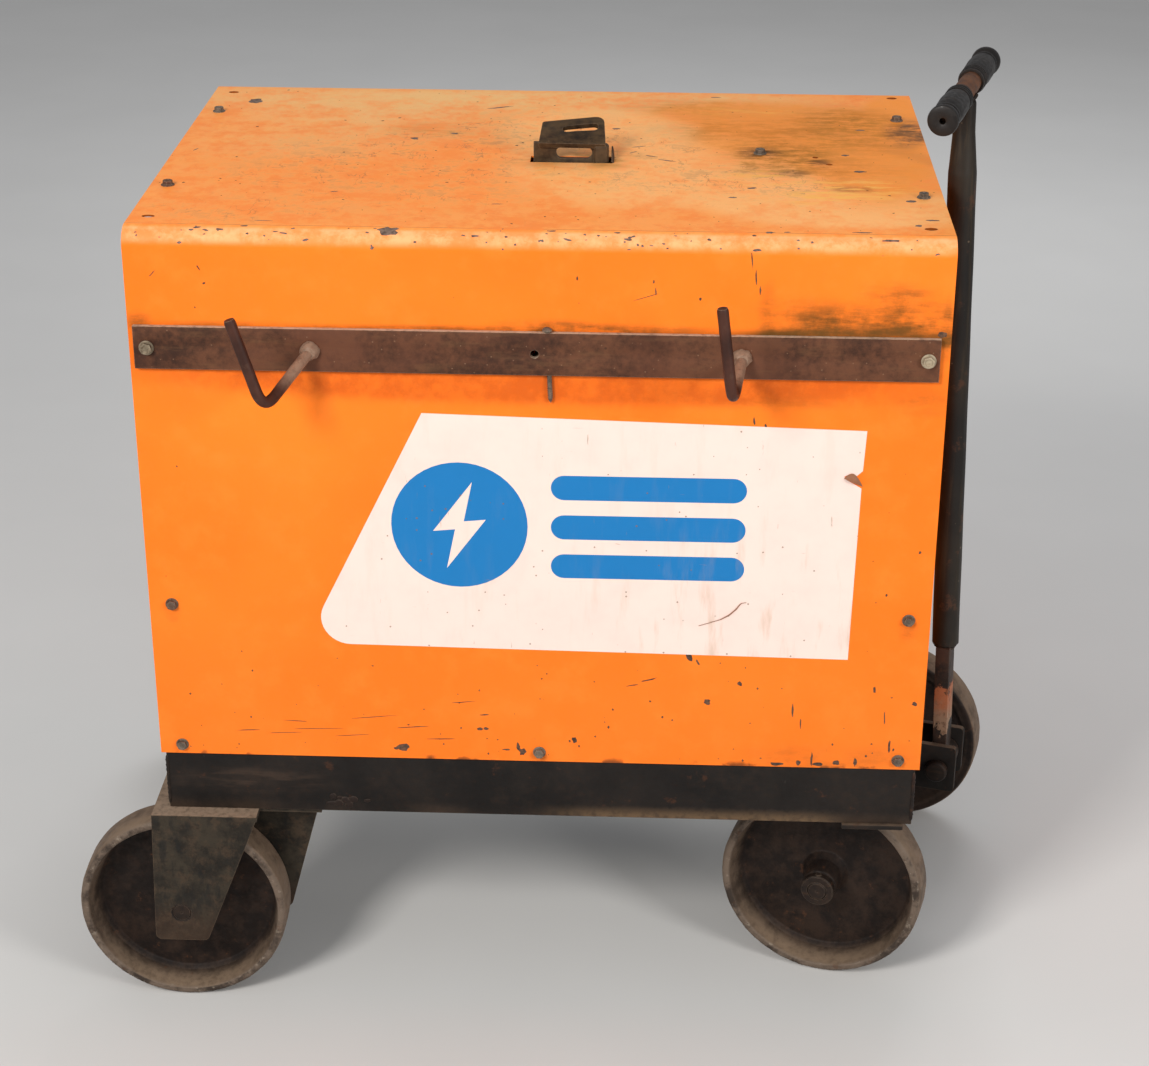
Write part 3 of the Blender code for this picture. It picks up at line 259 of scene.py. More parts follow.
def wear_top(n):
    """Scoured, tanned and stained patches of the top, a painted highlight along the bend and painted shade along
    its crease. Returns how stained it is.
    """
    pale = top_patches(n, (
        (430, 230, 150, 200, 1.0), (640, 90, 170, 80, 1.0), (540, 200, 120, 150, 0.9),
        (400, 340, 140, 120, 0.8),
    ))
    pale = n.times(n.times(n.spread(pale, 0.0, 0.55), n.top), n.spread(n.gritty, 0.38, 0.58, 0.45, 1.0))
    n.paint((0.98, 0.480, 0.165), pale, 0.85)
    tan = top_patches(n, (
        (150, 440, 300, 110, 0.85), (120, 300, 160, 110, 0.45), (400, 455, 260, 80, 0.85),
        (250, 350, 220, 90, 0.40), (560, 440, 150, 60, 0.60), (470, 330, 60, 60, 0.35),
    ))
    blotched = n.plus(n.times(n.cloud, 0.4), n.times(n.gritty, 0.6))
    tan = n.times(n.times(tan, n.top), n.spread(blotched, 0.40, 0.56, 0.25, 1.0))
    n.paint((0.81, 0.500, 0.200), tan, 0.85)

    # Painted highlight: a pale band along the bend.
    bend = n.times(n.spread(n.up, 0.12, 0.66), n.spread(n.up, 0.90, 0.995, 1.0, 0.0))
    n.paint((1.0, 0.490, 0.225), bend, n.spread(n.gritty, 0.40, 0.60, 0.30, 0.85))

    scoured = top_patches(n, (
        (230, 200, 240, 170, 0.85), (330, 330, 180, 110, 0.70), (500, 220, 160, 140, 0.80),
        (620, 180, 130, 120, 0.90), (90, 60, 120, 60, 0.55),
    ))
    hair = n.most(n.hairlines(n.stretched((17, 60, 30), (0, 0, radians(12))), 0.016, 4.0),
                  n.hairlines(n.stretched((60, 20, 30), (0, 0, radians(-28))), 0.013, 3.0))
    hair = n.times(n.times(hair, n.top), n.spread(scoured, 0.0, 0.8, 0.12, 1.0))
    hair = n.times(hair, n.spread(n.fine, 0.34, 0.56))
    n.paint((0.24, 0.105, 0.055), hair, 0.55)
    smudge = n.times(n.times(scoured, n.top), n.spread(n.gritty, 0.505, 0.60))
    n.paint((0.36, 0.160, 0.060), smudge, 0.42)

    amber = top_patches(n, (
        (600, 330, 150, 170, 0.85), (665, 250, 90, 210, 0.75), (530, 410, 120, 70, 0.60),
        (700, 420, 40, 110, 0.80),
    ))
    amber = n.times(n.times(amber, n.top), n.spread(n.gritty, 0.38, 0.58, 0.45, 1.0))
    n.paint((0.90, 0.285, 0.032), n.spread(amber, 0.0, 0.45), 0.85)
    stains = top_patches(n, (
        (575, 265, 70, 75, 0.80), (640, 330, 110, 110, 0.62), (530, 350, 100, 75, 0.50),
        (600, 215, 120, 60, 0.55), (650, 400, 80, 60, 0.50), (500, 430, 110, 50, 0.42),
        (404, 250, 60, 35, 0.60), (345, 225, 50, 22, 0.60), (418, 222, 30, 26, 0.60),
        (235, 330, 60, 40, 0.40),
    ))
    strokes = n.drawn((26, 120, 60), 5.0, 0.65, (0, 0, radians(-16)))
    rough_edge = n.plus(n.times(n.gritty, 0.55), n.times(strokes, 0.45))
    stained = n.times(n.times(stains, n.top), n.spread(rough_edge, 0.40, 0.60, 0.12, 1.0))
    olive = n.mix(n.spread(n.noise(9.0, 4.0), 0.42, 0.60), (0.270, 0.125, 0.026), (0.420, 0.140, 0.028))
    n.paint(olive, stained, 0.88)
    core = top_patches(n, (
        (559, 265, 30, 30, 1.0), (700, 335, 26, 60, 1.0), (716, 350, 22, 60, 1.0),
        (614, 234, 16, 22, 0.9), (584, 200, 30, 16, 0.7), (640, 150, 36, 16, 0.6),
    ))
    core = n.times(n.times(core, n.top), n.spread(rough_edge, 0.38, 0.56, 0.10, 1.0))
    n.paint((0.085, 0.040, 0.014), core, 0.88)
    yellow = top_patches(n, (
        (640, 150, 80, 60, 1.0), (560, 180, 80, 40, 0.75), (600, 120, 60, 30, 0.75),
        (545, 420, 90, 30, 0.55),
    ))
    yellow = n.times(n.times(yellow, n.top), n.spread(strokes, 0.50, 0.62))
    n.paint((0.95, 0.470, 0.095), yellow, 0.85)

    # Painted shade: a thin dark line along the crease where the bend meets the top.
    crease_shade = n.apart(n.plus(n.y, n.times(n.mottle, 0.0016)), NEAR + 0.0183)
    near_top = n.times(n.spread(n.z, TOP - 0.003, TOP - 0.001), n.spread(n.gritty, 0.40, 0.52))
    crease_shade = n.times(n.spread(crease_shade, 0.0, 0.0007, 1.0, 0.0), near_top)
    n.paint((0.20, 0.070, 0.025), crease_shade, 0.75)
    return stained


def soil_side(n):
    """Soot above the strap, and below it a darker red band that is partly grime and partly the strap's painted
    shadow. Returns how sooty it is.
    """
    soot = side_patches(n, (
        (640, 437, 110, 30, 1.0), (600, 455, 70, 20, 0.45), (690, 452, 40, 34, 0.85),
        (665, 470, 40, 20, 0.55), (560, 441, 12, 60, 0.45), (372, 434, 70, 13, 1.0),
        (440, 434, 120, 10, 0.75), (300, 433, 200, 5.5, 0.85), (100, 433, 120, 6.5, 0.55),
        (10, 436, 16, 14, 0.70), (560, 373, 130, 14, 0.45), (700, 372, 50, 18, 0.40),
        (640, 431, 120, 14, 1.0), (716, 440, 8, 40, 0.80), (700, 150, 12, 20, 0.50),
        (21, 151, 10, 14, 0.50), (361, 4, 12, 10, 0.50), (690, 10, 50, 26, 0.35), (610, 10, 80, 24, 0.35),
    ))
    drawn = n.plus(n.times(n.gritty, 0.5), n.times(n.drawn((20, 40, 95), 5.0, 0.65), 0.5))
    sooty = n.times(soot, n.spread(drawn, 0.40, 0.60, 0.22, 1.0))
    n.paint((0.105, 0.050, 0.010), sooty, 0.90)
    band = side_patches(n, ((650, 433, 130, 14, 1.0), (600, 432, 120, 8, 0.9)))
    n.paint((0.130, 0.058, 0.012), band, n.spread(drawn, 0.30, 0.55, 0.45, 0.85))
    # Painted shadow of the strap, with some grime: a darker red band below it.
    strap_shadow_and_grime = n.spread(n.patch(on_case(360, 0, 388), (0.480, 0.03, 0.034)), 0.0, 0.60)
    strap_shadow_and_grime = n.times(strap_shadow_and_grime, n.spread(n.gritty, 0.38, 0.58, 0.50, 0.90))
    n.paint((0.600, 0.098, 0.008), strap_shadow_and_grime)
    return sooty


def chip_paint(n):
    """Scuffs, grubby feet, chips, and painted shade round the holes and in the hole behind the strap. Returns how
    bare the steel is.
    """
    scuffs = n.drawn((9, 40, 260), 4.0, 0.7, (0, radians(4), 0))
    low_down = n.spread(n.z, FLOOR_OF_CASE + 0.10, FLOOR_OF_CASE + 0.02)
    scuffed = n.times(n.spread(scuffs, 0.69, 0.73), n.times(low_down, n.spread(n.cloud, 0.45, 0.60)))
    upright = n.drawn((240, 60, 16), 4.0, 0.7)
    knocks = side_patches(n, ((600, 50, 100, 90, 1.0), (690, 60, 30, 80, 0.9)))
    scuffed = n.plus(scuffed, n.times(n.spread(upright, 0.70, 0.76), knocks), True)
    # The side's paint darker towards the bottom.
    darker_low_down = n.spread(n.z, FLOOR_OF_CASE + 0.22, FLOOR_OF_CASE)
    darker_low_down = n.times(darker_low_down, n.spread(n.cloud, 0.35, 0.60, 0.35, 1.0))
    n.paint((0.62, 0.150, 0.030), darker_low_down, 0.22)
    grubby = n.spread(n.plus(n.z, n.times(n.mottle, 0.012)), FLOOR_OF_CASE + 0.0120, FLOOR_OF_CASE + 0.0065)
    grubby = n.times(grubby, n.spread(n.noise(34.0, 4.0), 0.54, 0.64))
    chips = n.most(n.specks(85.0, 0.10, 0.11), n.times(n.specks(190.0, 0.10, 0.17), n.top))
    rubbed = n.times(n.spread(n.noise(90.0, 5.0, 0.7), 0.72, 0.76), n.spread(n.top, 0.2, 1.0, 0.15, 1.0))
    bare = n.plus(n.plus(n.plus(chips, scuffed, True), grubby, True), rubbed, True)
    n.paint(n.mix(n.fine, DARK_RUST, RUST), bare, 0.75)
    # Painted shade round each hole in the top.
    for x, y, half_x, half_y in TOP_HOLES:
        hole = n.patch(on_top(x, y), (half_x * HOLE_SHADE / 1000, half_y * HOLE_SHADE / 1000, 0.01))
        n.paint((0.012, 0.007, 0.005), n.spread(hole, 0.18, 0.42))
    # Painted shade in and round the case's hole behind the strap's middle hole.
    strap_hole_shade = n.patch(STRAP_HOLE, (0.006, 0.02, 0.006))
    n.paint((0.010, 0.006, 0.004), n.spread(strap_hole_shade, 0.10, 0.30))
    return bare


def enamel():
    """Orange enamel: scoured, grimy and tanned on the top, a painted highlight along the bend, sooty above the
    strap and a painted shadow below it.
    """
    n = Nodes("orange_enamel")
    n.cloud = n.noise(3.0, 3.0)
    n.mottle = n.noise(38.0, 5.0, 0.6)
    n.fine = n.noise(210.0, 3.0)
    n.gritty = n.plus(n.times(n.noise(26.0, 6.0, 0.65), 0.55), n.times(n.noise(95.0, 5.0, 0.72), 0.45))
    n.top = n.spread(n.up, 0.80, 0.985)
    n.colour = n.mix(n.spread(n.cloud, 0.35, 0.68), (0.90, 0.176, 0.0125), (0.99, 0.214, 0.0180))
    n.paint((1.0, 0.260, 0.036), n.spread(n.mottle, 0.45, 0.75), 0.28)
    n.paint((0.98, 0.350, 0.078), n.top, n.spread(n.gritty, 0.40, 0.58, 0.45, 0.95))
    stained = wear_top(n)
    sooty = soil_side(n)
    bare = chip_paint(n)
    n.paint((0.45, 0.20, 0.07), n.spread(n.fine, 0.40, 0.75), 0.05)
    rough = n.spread(n.plus(n.plus(sooty, stained, True), bare, True), 0.0, 1.0, 0.42, 0.78)
    rough = n.plus(rough, n.times(n.minus(n.mottle, 0.5), 0.22))
    n.bump((n.noise(420.0, 2.0), 0.00006), (n.minus(1.0, bare), 0.00022))
    return n.finish(rough, specular=0.12)


def decal_film(name, colour, dirt):
    """Printed film: yellowed, scuffed with short strokes, smeared low down and specked with dirt."""
    n = Nodes(name)
    mottle = n.noise(30.0, 5.0, 0.6)
    grain = n.noise(120.0, 5.0, 0.7)
    n.colour = n.mix(n.times(n.spread(mottle, 0.35, 0.8), dirt), colour, [c * 0.80 for c in colour])
    drips = n.drawn((70, 40, 12), 5.0, 0.6)
    right = n.spread(n.x, LEFT + 0.30, LEFT + 0.62)
    low = n.spread(n.z, FLOOR_OF_CASE + 0.30, FLOOR_OF_CASE + 0.13)
    smeared = n.times(n.spread(drips, 0.52, 0.72), n.spread(n.times(right, low), 0.0, 0.7, 0.20, 1.0))
    n.paint((0.46, 0.30, 0.17), smeared, dirt * 1.4)
    strokes = n.spread(n.drawn((260, 40, 38), 3.0, 0.6, (0, radians(9), 0)), 0.70, 0.74)
    across = n.spread(n.drawn((30, 40, 240), 3.0, 0.6, (0, radians(-14), 0)), 0.72, 0.76)
    scored = n.times(n.most(strokes, across), n.spread(mottle, 0.42, 0.60))
    n.paint((0.30, 0.20, 0.12), scored, min(1.0, dirt * 2.4))
    specks = n.most(n.specks(75.0, 0.16, 0.12), n.specks(170.0, 0.08, 0.17))
    n.paint((0.18, 0.10, 0.045), specks, 0.70)
    n.bump((grain, 0.00004), (scored, 0.00008))
    return n.finish(n.spread(mottle, 0.3, 0.7, 0.36, 0.52), specular=0.35)


def patina(name, dark, light, metal=0.05, edge=0.60, top_highlight_and_dust=0.0, rust=1.0):
    """Steel with a brown rust skin: redder blotches, dark specks, drawn streaks, rubbed edges, and paler upward
    faces from dust and a painted highlight.
    """
    n = Nodes(name)
    broad = n.noise(14.0, 5.0, 0.62)
    fine = n.noise(160.0, 5.0, 0.7)
    drawn = n.drawn((26, 60, 150), 4.0, 0.6)
    n.colour = n.mix(n.spread(n.plus(n.times(broad, 0.6), n.times(fine, 0.4)), 0.38, 0.62), dark, light)
    n.paint((0.120, 0.042, 0.022), n.spread(n.noise(8.0, 4.0), 0.48, 0.66), 0.55 * rust)
    n.paint((0.150, 0.072, 0.031), n.spread(drawn, 0.52, 0.74), 0.30 * rust)
    n.paint(DARK_RUST, n.specks(120.0, 0.30, 0.22), 0.6)
    n.paint((0.26, 0.15, 0.09), n.specks(260.0, 0.14, 0.20), 0.5 * rust)
    edges = n.times(n.worn_edges(), n.spread(fine, 0.30, 0.60, 0.35, 1.0))
    n.paint((0.33, 0.240, 0.170), edges, edge)
    # Upward faces paler: a painted highlight, with dust.
    settled = n.times(n.spread(n.up, 0.35, 0.90), n.spread(fine, 0.30, 0.55, 0.45, 1.0))
    n.paint((0.520, 0.385, 0.280), settled, top_highlight_and_dust)
    rough = n.spread(fine, 0.2, 0.8, 0.50, 0.76)
    n.bump((fine, 0.00018), (broad, 0.0003))
    return n.finish(rough, n.spread(broad, 0.3, 0.7, metal * 0.6, metal), 0.24)


def hook_rust():
    """The hooks: beige-brown where the cable rubs the arms, and dark maroon out on the uprights."""
    n = Nodes("hook_steel")
    fine = n.noise(190.0, 5.0, 0.7)
    broad = n.noise(40.0, 4.0)
    n.colour = n.mix(n.spread(broad, 0.35, 0.65), (0.034, 0.0110, 0.0065), (0.064, 0.0215, 0.0125))
    arm = n.spread(n.plus(n.y, n.times(broad, 0.012)), STRAP_LOW.y - 0.048, STRAP_LOW.y - 0.026)
    n.paint((0.270, 0.165, 0.110), arm, n.spread(fine, 0.25, 0.60, 0.55, 0.95))
    n.paint((0.075, 0.034, 0.020), n.spread(n.noise(85.0, 5.0, 0.7), 0.56, 0.66), 0.55)
    n.paint((0.33, 0.250, 0.190), n.worn_edges(), 0.5)
    n.bump((fine, 0.00018), (broad, 0.0002))
    return n.finish(n.spread(fine, 0.2, 0.8, 0.42, 0.66), 0.06, 0.26)


def chassis_paint():
    """Old black paint under brown dust, with rust at the edges."""
    n = Nodes("chassis_paint")
    broad = n.noise(11.0, 5.0, 0.6)
    fine = n.noise(130.0, 5.0, 0.65)
    n.colour = n.mix(n.spread(broad, 0.35, 0.65), (0.0050, 0.0038, 0.0033), (0.0110, 0.0082, 0.0068))
    settled = n.spread(n.up, 0.3, 0.95)
    dust = n.spread(n.plus(n.times(fine, 0.45), n.times(n.noise(24.0, 5.0, 0.7), 0.55)), 0.46, 0.66)
    n.paint((0.044, 0.027, 0.018), dust, 0.26)
    n.paint((0.120, 0.082, 0.056), settled, n.spread(fine, 0.2, 0.6, 0.30, 0.80))
    low_edge = n.spread(n.plus(n.z, n.times(fine, 0.012)), 0.2330, 0.2190)
    band = n.times(low_edge, n.spread(n.z, 0.2100, 0.2130))
    n.paint((0.060, 0.036, 0.022), band, n.spread(broad, 0.35, 0.60, 0.05, 0.45))
    right = n.times(n.spread(n.x, LEFT + 0.340, LEFT + 0.430),
                    n.spread(n.x, LEFT + 0.665, LEFT + 0.610))
    n.paint((0.125, 0.078, 0.042), band, right, n.spread(fine, 0.34, 0.60, 0.35, 1.0))
    left_smear = n.patch((LEFT + 0.085, NEAR, 0.246), (0.110, 0.04, 0.020))
    smeared = n.spread(n.drawn((16, 60, 90), 4.0, 0.6), 0.44, 0.62, 0.1, 0.55)
    n.paint((0.060, 0.036, 0.024), left_smear, smeared)
    edges = n.times(n.worn_edges(0.0015), n.spread(fine, 0.30, 0.55))
    n.paint((0.130, 0.085, 0.056), edges, 0.55)
    n.paint((0.070, 0.026, 0.011), n.spread(n.noise(45.0, 6.0, 0.7), 0.62, 0.70), 0.5)
    scratches = n.spread(n.drawn((300, 60, 30), 2.0, 0.5, (0, radians(6), 0)), 0.76, 0.79)
    n.paint((0.16, 0.14, 0.12), scratches, 0.4)
    n.bump((fine, 0.00015), (broad, 0.0003))
    return n.finish(n.spread(fine, 0.2, 0.8, 0.60, 0.84), specular=0.22)


def leg_paint():
    """The fixed axle's legs: worn green-black paint, brown blotches, pale scratches, and the plate's top paler
    with dust and a painted highlight.
    """
    n = Nodes("leg_paint")
    broad = n.noise(26.0, 6.0, 0.70)
    blotch = n.noise(60.0, 6.0, 0.72)
    fine = n.noise(170.0, 5.0, 0.65)
    n.colour = n.mix(n.spread(broad, 0.40, 0.60), (0.0120, 0.0092, 0.0062), (0.033, 0.0250, 0.0160))
    n.paint((0.054, 0.034, 0.020), n.spread(blotch, 0.48, 0.62), 0.70)
    n.paint((0.009, 0.008, 0.007), n.spread(fine, 0.52, 0.72), 0.5)
    smears = n.drawn((70, 40, 24), 4.0, 0.6)
    n.paint((0.0085, 0.0080, 0.0070), n.spread(smears, 0.54, 0.66), 0.70)
    low = n.spread(n.plus(n.z, n.times(broad, 0.05)), 0.150, 0.095)
    n.paint((0.050, 0.025, 0.013), low, 0.50)
    # Upward faces paler: dust and a painted highlight.
    top_highlight_and_dust = n.spread(n.up, 0.4, 0.95)
    n.paint((0.235, 0.165, 0.115), top_highlight_and_dust, n.spread(fine, 0.25, 0.60, 0.40, 0.95))
    edges = n.times(n.worn_edges(0.0016), n.spread(fine, 0.28, 0.5))
    n.paint((0.17, 0.115, 0.075), edges, 0.40)
    marks = n.spread(n.drawn((330, 60, 36), 2.0, 0.5, (0, radians(-8), 0)), 0.74, 0.77)
    n.paint((0.26, 0.25, 0.21), marks, 0.55)
    n.bump((fine, 0.00018), (broad, 0.0004))
    return n.finish(n.spread(fine, 0.2, 0.8, 0.55, 0.80), specular=0.25)


def wheel_iron(name, centre, axle, outboard):
    """Cast iron: a dusty tan tread, a lip rubbed bright, an inner rim wall with painted light that fades to
    painted shade deeper in, dust and a painted highlight on the dish's upward faces, and a dark brown web.
    """
    n = Nodes(name)
    moved = n.vector("SUBTRACT", n.where, centre)[0]
    along = n.vector("DOT_PRODUCT", moved, axle)["Value"]
    reach = n.vector("LENGTH", moved)["Value"]
    radius = n.math("SQRT", n.minus(n.times(reach, reach), n.times(along, along)))
    out = n.times(along, outboard)
    fine = n.noise(170.0, 5.0, 0.65)
    broad = n.noise(22.0, 5.0, 0.6)
    gritty = n.plus(n.times(broad, 0.5), n.times(n.noise(75.0, 5.0, 0.7), 0.5))
    n.colour = n.mix(n.spread(gritty, 0.40, 0.60), (0.0085, 0.0048, 0.0036), (0.027, 0.0150, 0.0098))
    tread = n.spread(radius, 0.0992, 0.1008)
    n.paint((0.185, 0.125, 0.084), tread, n.spread(gritty, 0.38, 0.58, 0.45, 0.95))
    # The inner rim wall paler: painted light near the outboard mouth, fading to painted shade deeper in the dish.
    wall_light_and_shade = n.spread(n.plus(out, n.times(gritty, 0.008)), 0.000, 0.020, 0.12, 1.0)
    wall = n.times(n.times(n.spread(radius, 0.0855, 0.0885), n.spread(radius, 0.0940, 0.0930)), wall_light_and_shade)
    n.paint((0.150, 0.104, 0.073), wall, n.spread(gritty, 0.38, 0.58, 0.35, 0.85))
    # Upward faces in the dish, near its mouth, paler: dust and a painted highlight.
    upward = n.spread(n.up, 0.25, 0.95)
    dish_dust_and_highlight = n.times(n.times(upward, n.spread(out, 0.000, 0.020)), n.spread(radius, 0.070, 0.084))
    n.paint((0.230, 0.160, 0.105), dish_dust_and_highlight, n.spread(fine, 0.30, 0.60, 0.30, 0.80))
    lip = n.times(n.spread(radius, 0.0920, 0.0936), n.spread(out, 0.020, 0.0238))
    n.paint((0.150, 0.110, 0.082), lip, n.spread(gritty, 0.40, 0.56, 0.20, 0.90))
    flecks = n.times(lip, n.spread(n.noise(120.0, 4.0, 0.7), 0.58, 0.68))
    n.paint((0.33, 0.27, 0.21), flecks, 0.6)
    edges = n.times(n.worn_edges(0.0014, 0.015, 0.10), n.spread(fine, 0.30, 0.56))
    n.paint((0.34, 0.28, 0.22), edges, 0.65)
    n.paint((0.085, 0.034, 0.015), n.spread(n.noise(70.0, 5.0, 0.7), 0.60, 0.70), 0.5)
    n.bump((fine, 0.00022), (n.noise(60.0, 4.0), 0.0004))
    rough = n.spread(fine, 0.2, 0.8, 0.52, 0.78)
    return n.finish(rough, n.spread(flecks, 0.0, 1.0, 0.08, 0.50), 0.24)


def foot_rust():
    """The tongue's forked foot: dark rust, with a patch where beige and orange paint still holds."""
    n = Nodes("tongue_foot_steel")
    broad = n.noise(30.0, 5.0, 0.65)
    fine = n.noise(170.0, 5.0, 0.7)
    n.colour = n.mix(n.spread(broad, 0.38, 0.62), (0.0115, 0.0075, 0.0055), (0.046, 0.024, 0.015))
    n.paint((0.085, 0.040, 0.022), n.spread(fine, 0.50, 0.70), 0.45)
    height = n.plus(n.z, n.times(n.minus(n.noise(48.0, 5.0, 0.7), 0.5), 0.085))
    holds = n.times(n.spread(height, 0.2050, 0.2085), n.spread(height, 0.2560, 0.2520))
    paint = n.mix(n.spread(height, 0.215, 0.250), (0.300, 0.180, 0.110), (0.420, 0.130, 0.050))
    n.paint(n.mix(n.spread(fine, 0.50, 0.72), paint, (0.110, 0.050, 0.028)), holds, 0.90)
    n.paint((0.170, 0.115, 0.080), n.worn_edges(0.0012), 0.35)
    n.bump((fine, 0.0002), (broad, 0.0003), (holds, 0.0003))
    return n.finish(n.spread(fine, 0.2, 0.8, 0.50, 0.78), 0.08, 0.35)


def tube_steel():
    """The tongue's pipe: dark olive-brown, streaked along its length and rubbed bare in places."""
    n = Nodes("tube_steel")
    streaks = n.drawn((130, 130, 7), 5.0, 0.6)
    fine = n.noise(180.0, 4.0, 0.65)
    broad = n.noise(9.0, 5.0, 0.6)
    n.colour = n.mix(n.spread(broad, 0.35, 0.65), (0.0070, 0.0048, 0.0034), (0.020, 0.0145, 0.0090))
    n.paint((0.055, 0.039, 0.022), n.spread(streaks, 0.50, 0.72), 0.55)
    n.paint((0.080, 0.032, 0.013), n.spread(n.noise(34.0, 5.0, 0.7), 0.57, 0.68), 0.7)
    n.paint((0.20, 0.15, 0.10), n.specks(140.0, 0.16, 0.18), 0.5)
    n.bump((fine, 0.00012), (broad, 0.0002))
    return n.finish(n.spread(streaks, 0.3, 0.7, 0.42, 0.66), 0.10, 0.30)


def grip_rubber():
    """Moulded grips, black-brown, with a dull sheen and rubbed ridges."""
    n = Nodes("moulded_grip")
    fine = n.noise(240.0, 4.0, 0.6)
    broad = n.noise(40.0, 4.0)
    n.colour = n.mix(n.spread(broad, 0.3, 0.7), (0.0050, 0.0038, 0.0034), (0.0125, 0.0088, 0.0070))
    n.paint((0.055, 0.036, 0.026), n.worn_edges(0.0012), 0.35)
    n.paint((0.045, 0.025, 0.016), n.spread(n.noise(75.0, 5.0, 0.7), 0.57, 0.68), 0.4)
    n.bump((fine, 0.00010), (broad, 0.00025))
    return n.finish(n.spread(fine, 0.2, 0.8, 0.36, 0.60), specular=0.32)


def zinc():
    """Dull plating with spots of rust."""
    n = Nodes("dull_zinc")
    fine = n.noise(330.0, 4.0, 0.6)
    broad = n.noise(60.0, 4.0)
    n.colour = n.mix(n.spread(broad, 0.35, 0.65), (0.30, 0.29, 0.27), (0.52, 0.50, 0.46))
    n.paint((0.16, 0.085, 0.045), n.spread(n.noise(110.0, 4.0, 0.7), 0.56, 0.68), 0.7)
    n.bump((fine, 0.00005))
    return n.finish(n.spread(fine, 0.2, 0.8, 0.25, 0.50), 0.75)


def plain(name, colour, roughness, metallic=0.0, grain=160.0, dirt=0.35, depth=0.00006, brushed=None):
    """A finish with a mottled tone, fine grain and a little dirt, for the controls and the inside."""
    n = Nodes(name)
    where = n.stretched(brushed) if brushed else n.where
    fine = n.noise(1.0 if brushed else grain, 4.0, 0.6, where=where)
    broad = n.noise(24.0, 4.0)
    n.colour = n.mix(n.times(n.spread(broad, 0.35, 0.7), dirt), colour, [c * 0.55 + 0.012 for c in colour])
    n.paint([min(1.0, c * 1.5 + 0.05) for c in colour], n.worn_edges(0.0008), 0.30)
    n.bump((fine, depth))
    return n.finish(n.spread(fine, 0.2, 0.8, roughness * 0.8, min(1.0, roughness * 1.25)), metallic)


def winding(name, colour, along):
    """Varnished winding: fine turns lying side by side."""
    n = Nodes(name)
    turns = n.add("ShaderNodeTexWave", {"Vector": n.where, "Scale": 130.0, "Distortion": 0.4},
                  bands_direction=along).outputs["Fac"]
    n.colour = n.mix(turns, [c * 0.45 for c in colour], colour)
    n.paint((0.10, 0.05, 0.02), n.spread(n.noise(30.0), 0.4, 0.7), 0.4)
    n.bump((turns, 0.0004))
    return n.finish(0.35, 0.35)


def laminations():
    """Stacked steel sheets, seen from their edges."""
    n = Nodes("core_laminations")
    sheets = n.add("ShaderNodeTexWave", {"Vector": n.where, "Scale": 160.0, "Distortion": 0.2},
                   bands_direction="Y").outputs["Fac"]
    n.colour = n.mix(sheets, (0.050, 0.050, 0.052), (0.150, 0.150, 0.155))
    n.paint(RUST, n.spread(n.noise(50.0, 5.0, 0.7), 0.52, 0.70), 0.6)
    n.bump((sheets, 0.0003))
    return n.finish(0.5, 0.7)


def chip_metal():
    """What shows where the paint has gone: dark rust, with a little bright metal."""
    n = Nodes("bare_chip")
    fine = n.noise(300.0, 4.0, 0.7)
    n.colour = n.mix(n.spread(fine, 0.35, 0.65), DARK_RUST, (0.130, 0.060, 0.030))
    n.bump((fine, 0.00010))
    return n.finish(0.72)


def worn_primer():
    """Grey-brown primer and steel where the top coat has been knocked off."""
    n = Nodes("worn_primer")
    fine = n.noise(220.0, 5.0, 0.7)
    n.colour = n.mix(n.spread(fine, 0.35, 0.62), (0.075, 0.048, 0.036), (0.200, 0.135, 0.105))
    n.bump((fine, 0.00012))
    return n.finish(0.62, specular=0.35)


def glass():
    """Meter glass with faint smears."""
    n = Nodes("meter_glass")
    smear = n.noise(55.0, 4.0)
    n.shader.inputs["Transmission Weight"].default_value = 1.0
    n.shader.inputs["IOR"].default_value = 1.45
    n.bump((smear, 0.00003))
    n.colour = (0.93, 0.95, 0.95, 1.0)
    return n.finish(n.spread(smear, 0.3, 0.7, 0.02, 0.10))


ENAMEL = enamel()
DECAL_WHITE = decal_film("decal_white", (0.850, 0.660, 0.590), 0.30)
DECAL_BLUE = decal_film("decal_blue", (0.003, 0.165, 0.440), 0.14)
PATINA = patina("rust_patina", (0.038, 0.0140, 0.0070), (0.125, 0.047, 0.022), top_highlight_and_dust=0.9)
EYE_STEEL = patina("eye_steel", (0.016, 0.0085, 0.0045), (0.075, 0.0440, 0.0200), 0.05, 0.35, rust=0.45)
HOOK_STEEL = hook_rust()
BURR = patina("burr_steel", (0.016, 0.009, 0.006), (0.060, 0.030, 0.016), 0.1, 0.5)
CHASSIS = chassis_paint()
LEG_PAINT = leg_paint()
TUBE = tube_steel()
GRIP = grip_rubber()
ZINC = zinc()
CHIP = chip_metal()
PRIMER = worn_primer()
WELD = patina("weld_bead", (0.0065, 0.0045, 0.0038), (0.024, 0.0150, 0.0105), 0.10, 0.30)
SOOTY_WELD = patina("sooty_weld", (0.0045, 0.0030, 0.0026), (0.0120, 0.0072, 0.0052), 0.05, 0.15, rust=0.08)
FOOT_STEEL = foot_rust()
AXLE_STEEL = patina("axle_steel", (0.0075, 0.0045, 0.0034), (0.026, 0.0150, 0.0098), 0.10, 0.25, rust=0.45)
PANEL = plain("panel_enamel", (0.060, 0.062, 0.066), 0.45, grain=260.0)
PLASTIC = plain("black_plastic", (0.016, 0.016, 0.017), 0.36, grain=300.0)
DIAL = plain("dial_card", (0.80, 0.77, 0.68), 0.55, grain=400.0, dirt=0.15, depth=0.00002)
INK = plain("dial_ink", (0.012, 0.012, 0.012), 0.5, grain=400.0, depth=0.00001)
MARK_WHITE = plain("panel_marking", (0.72, 0.71, 0.67), 0.5, grain=300.0, depth=0.00002)
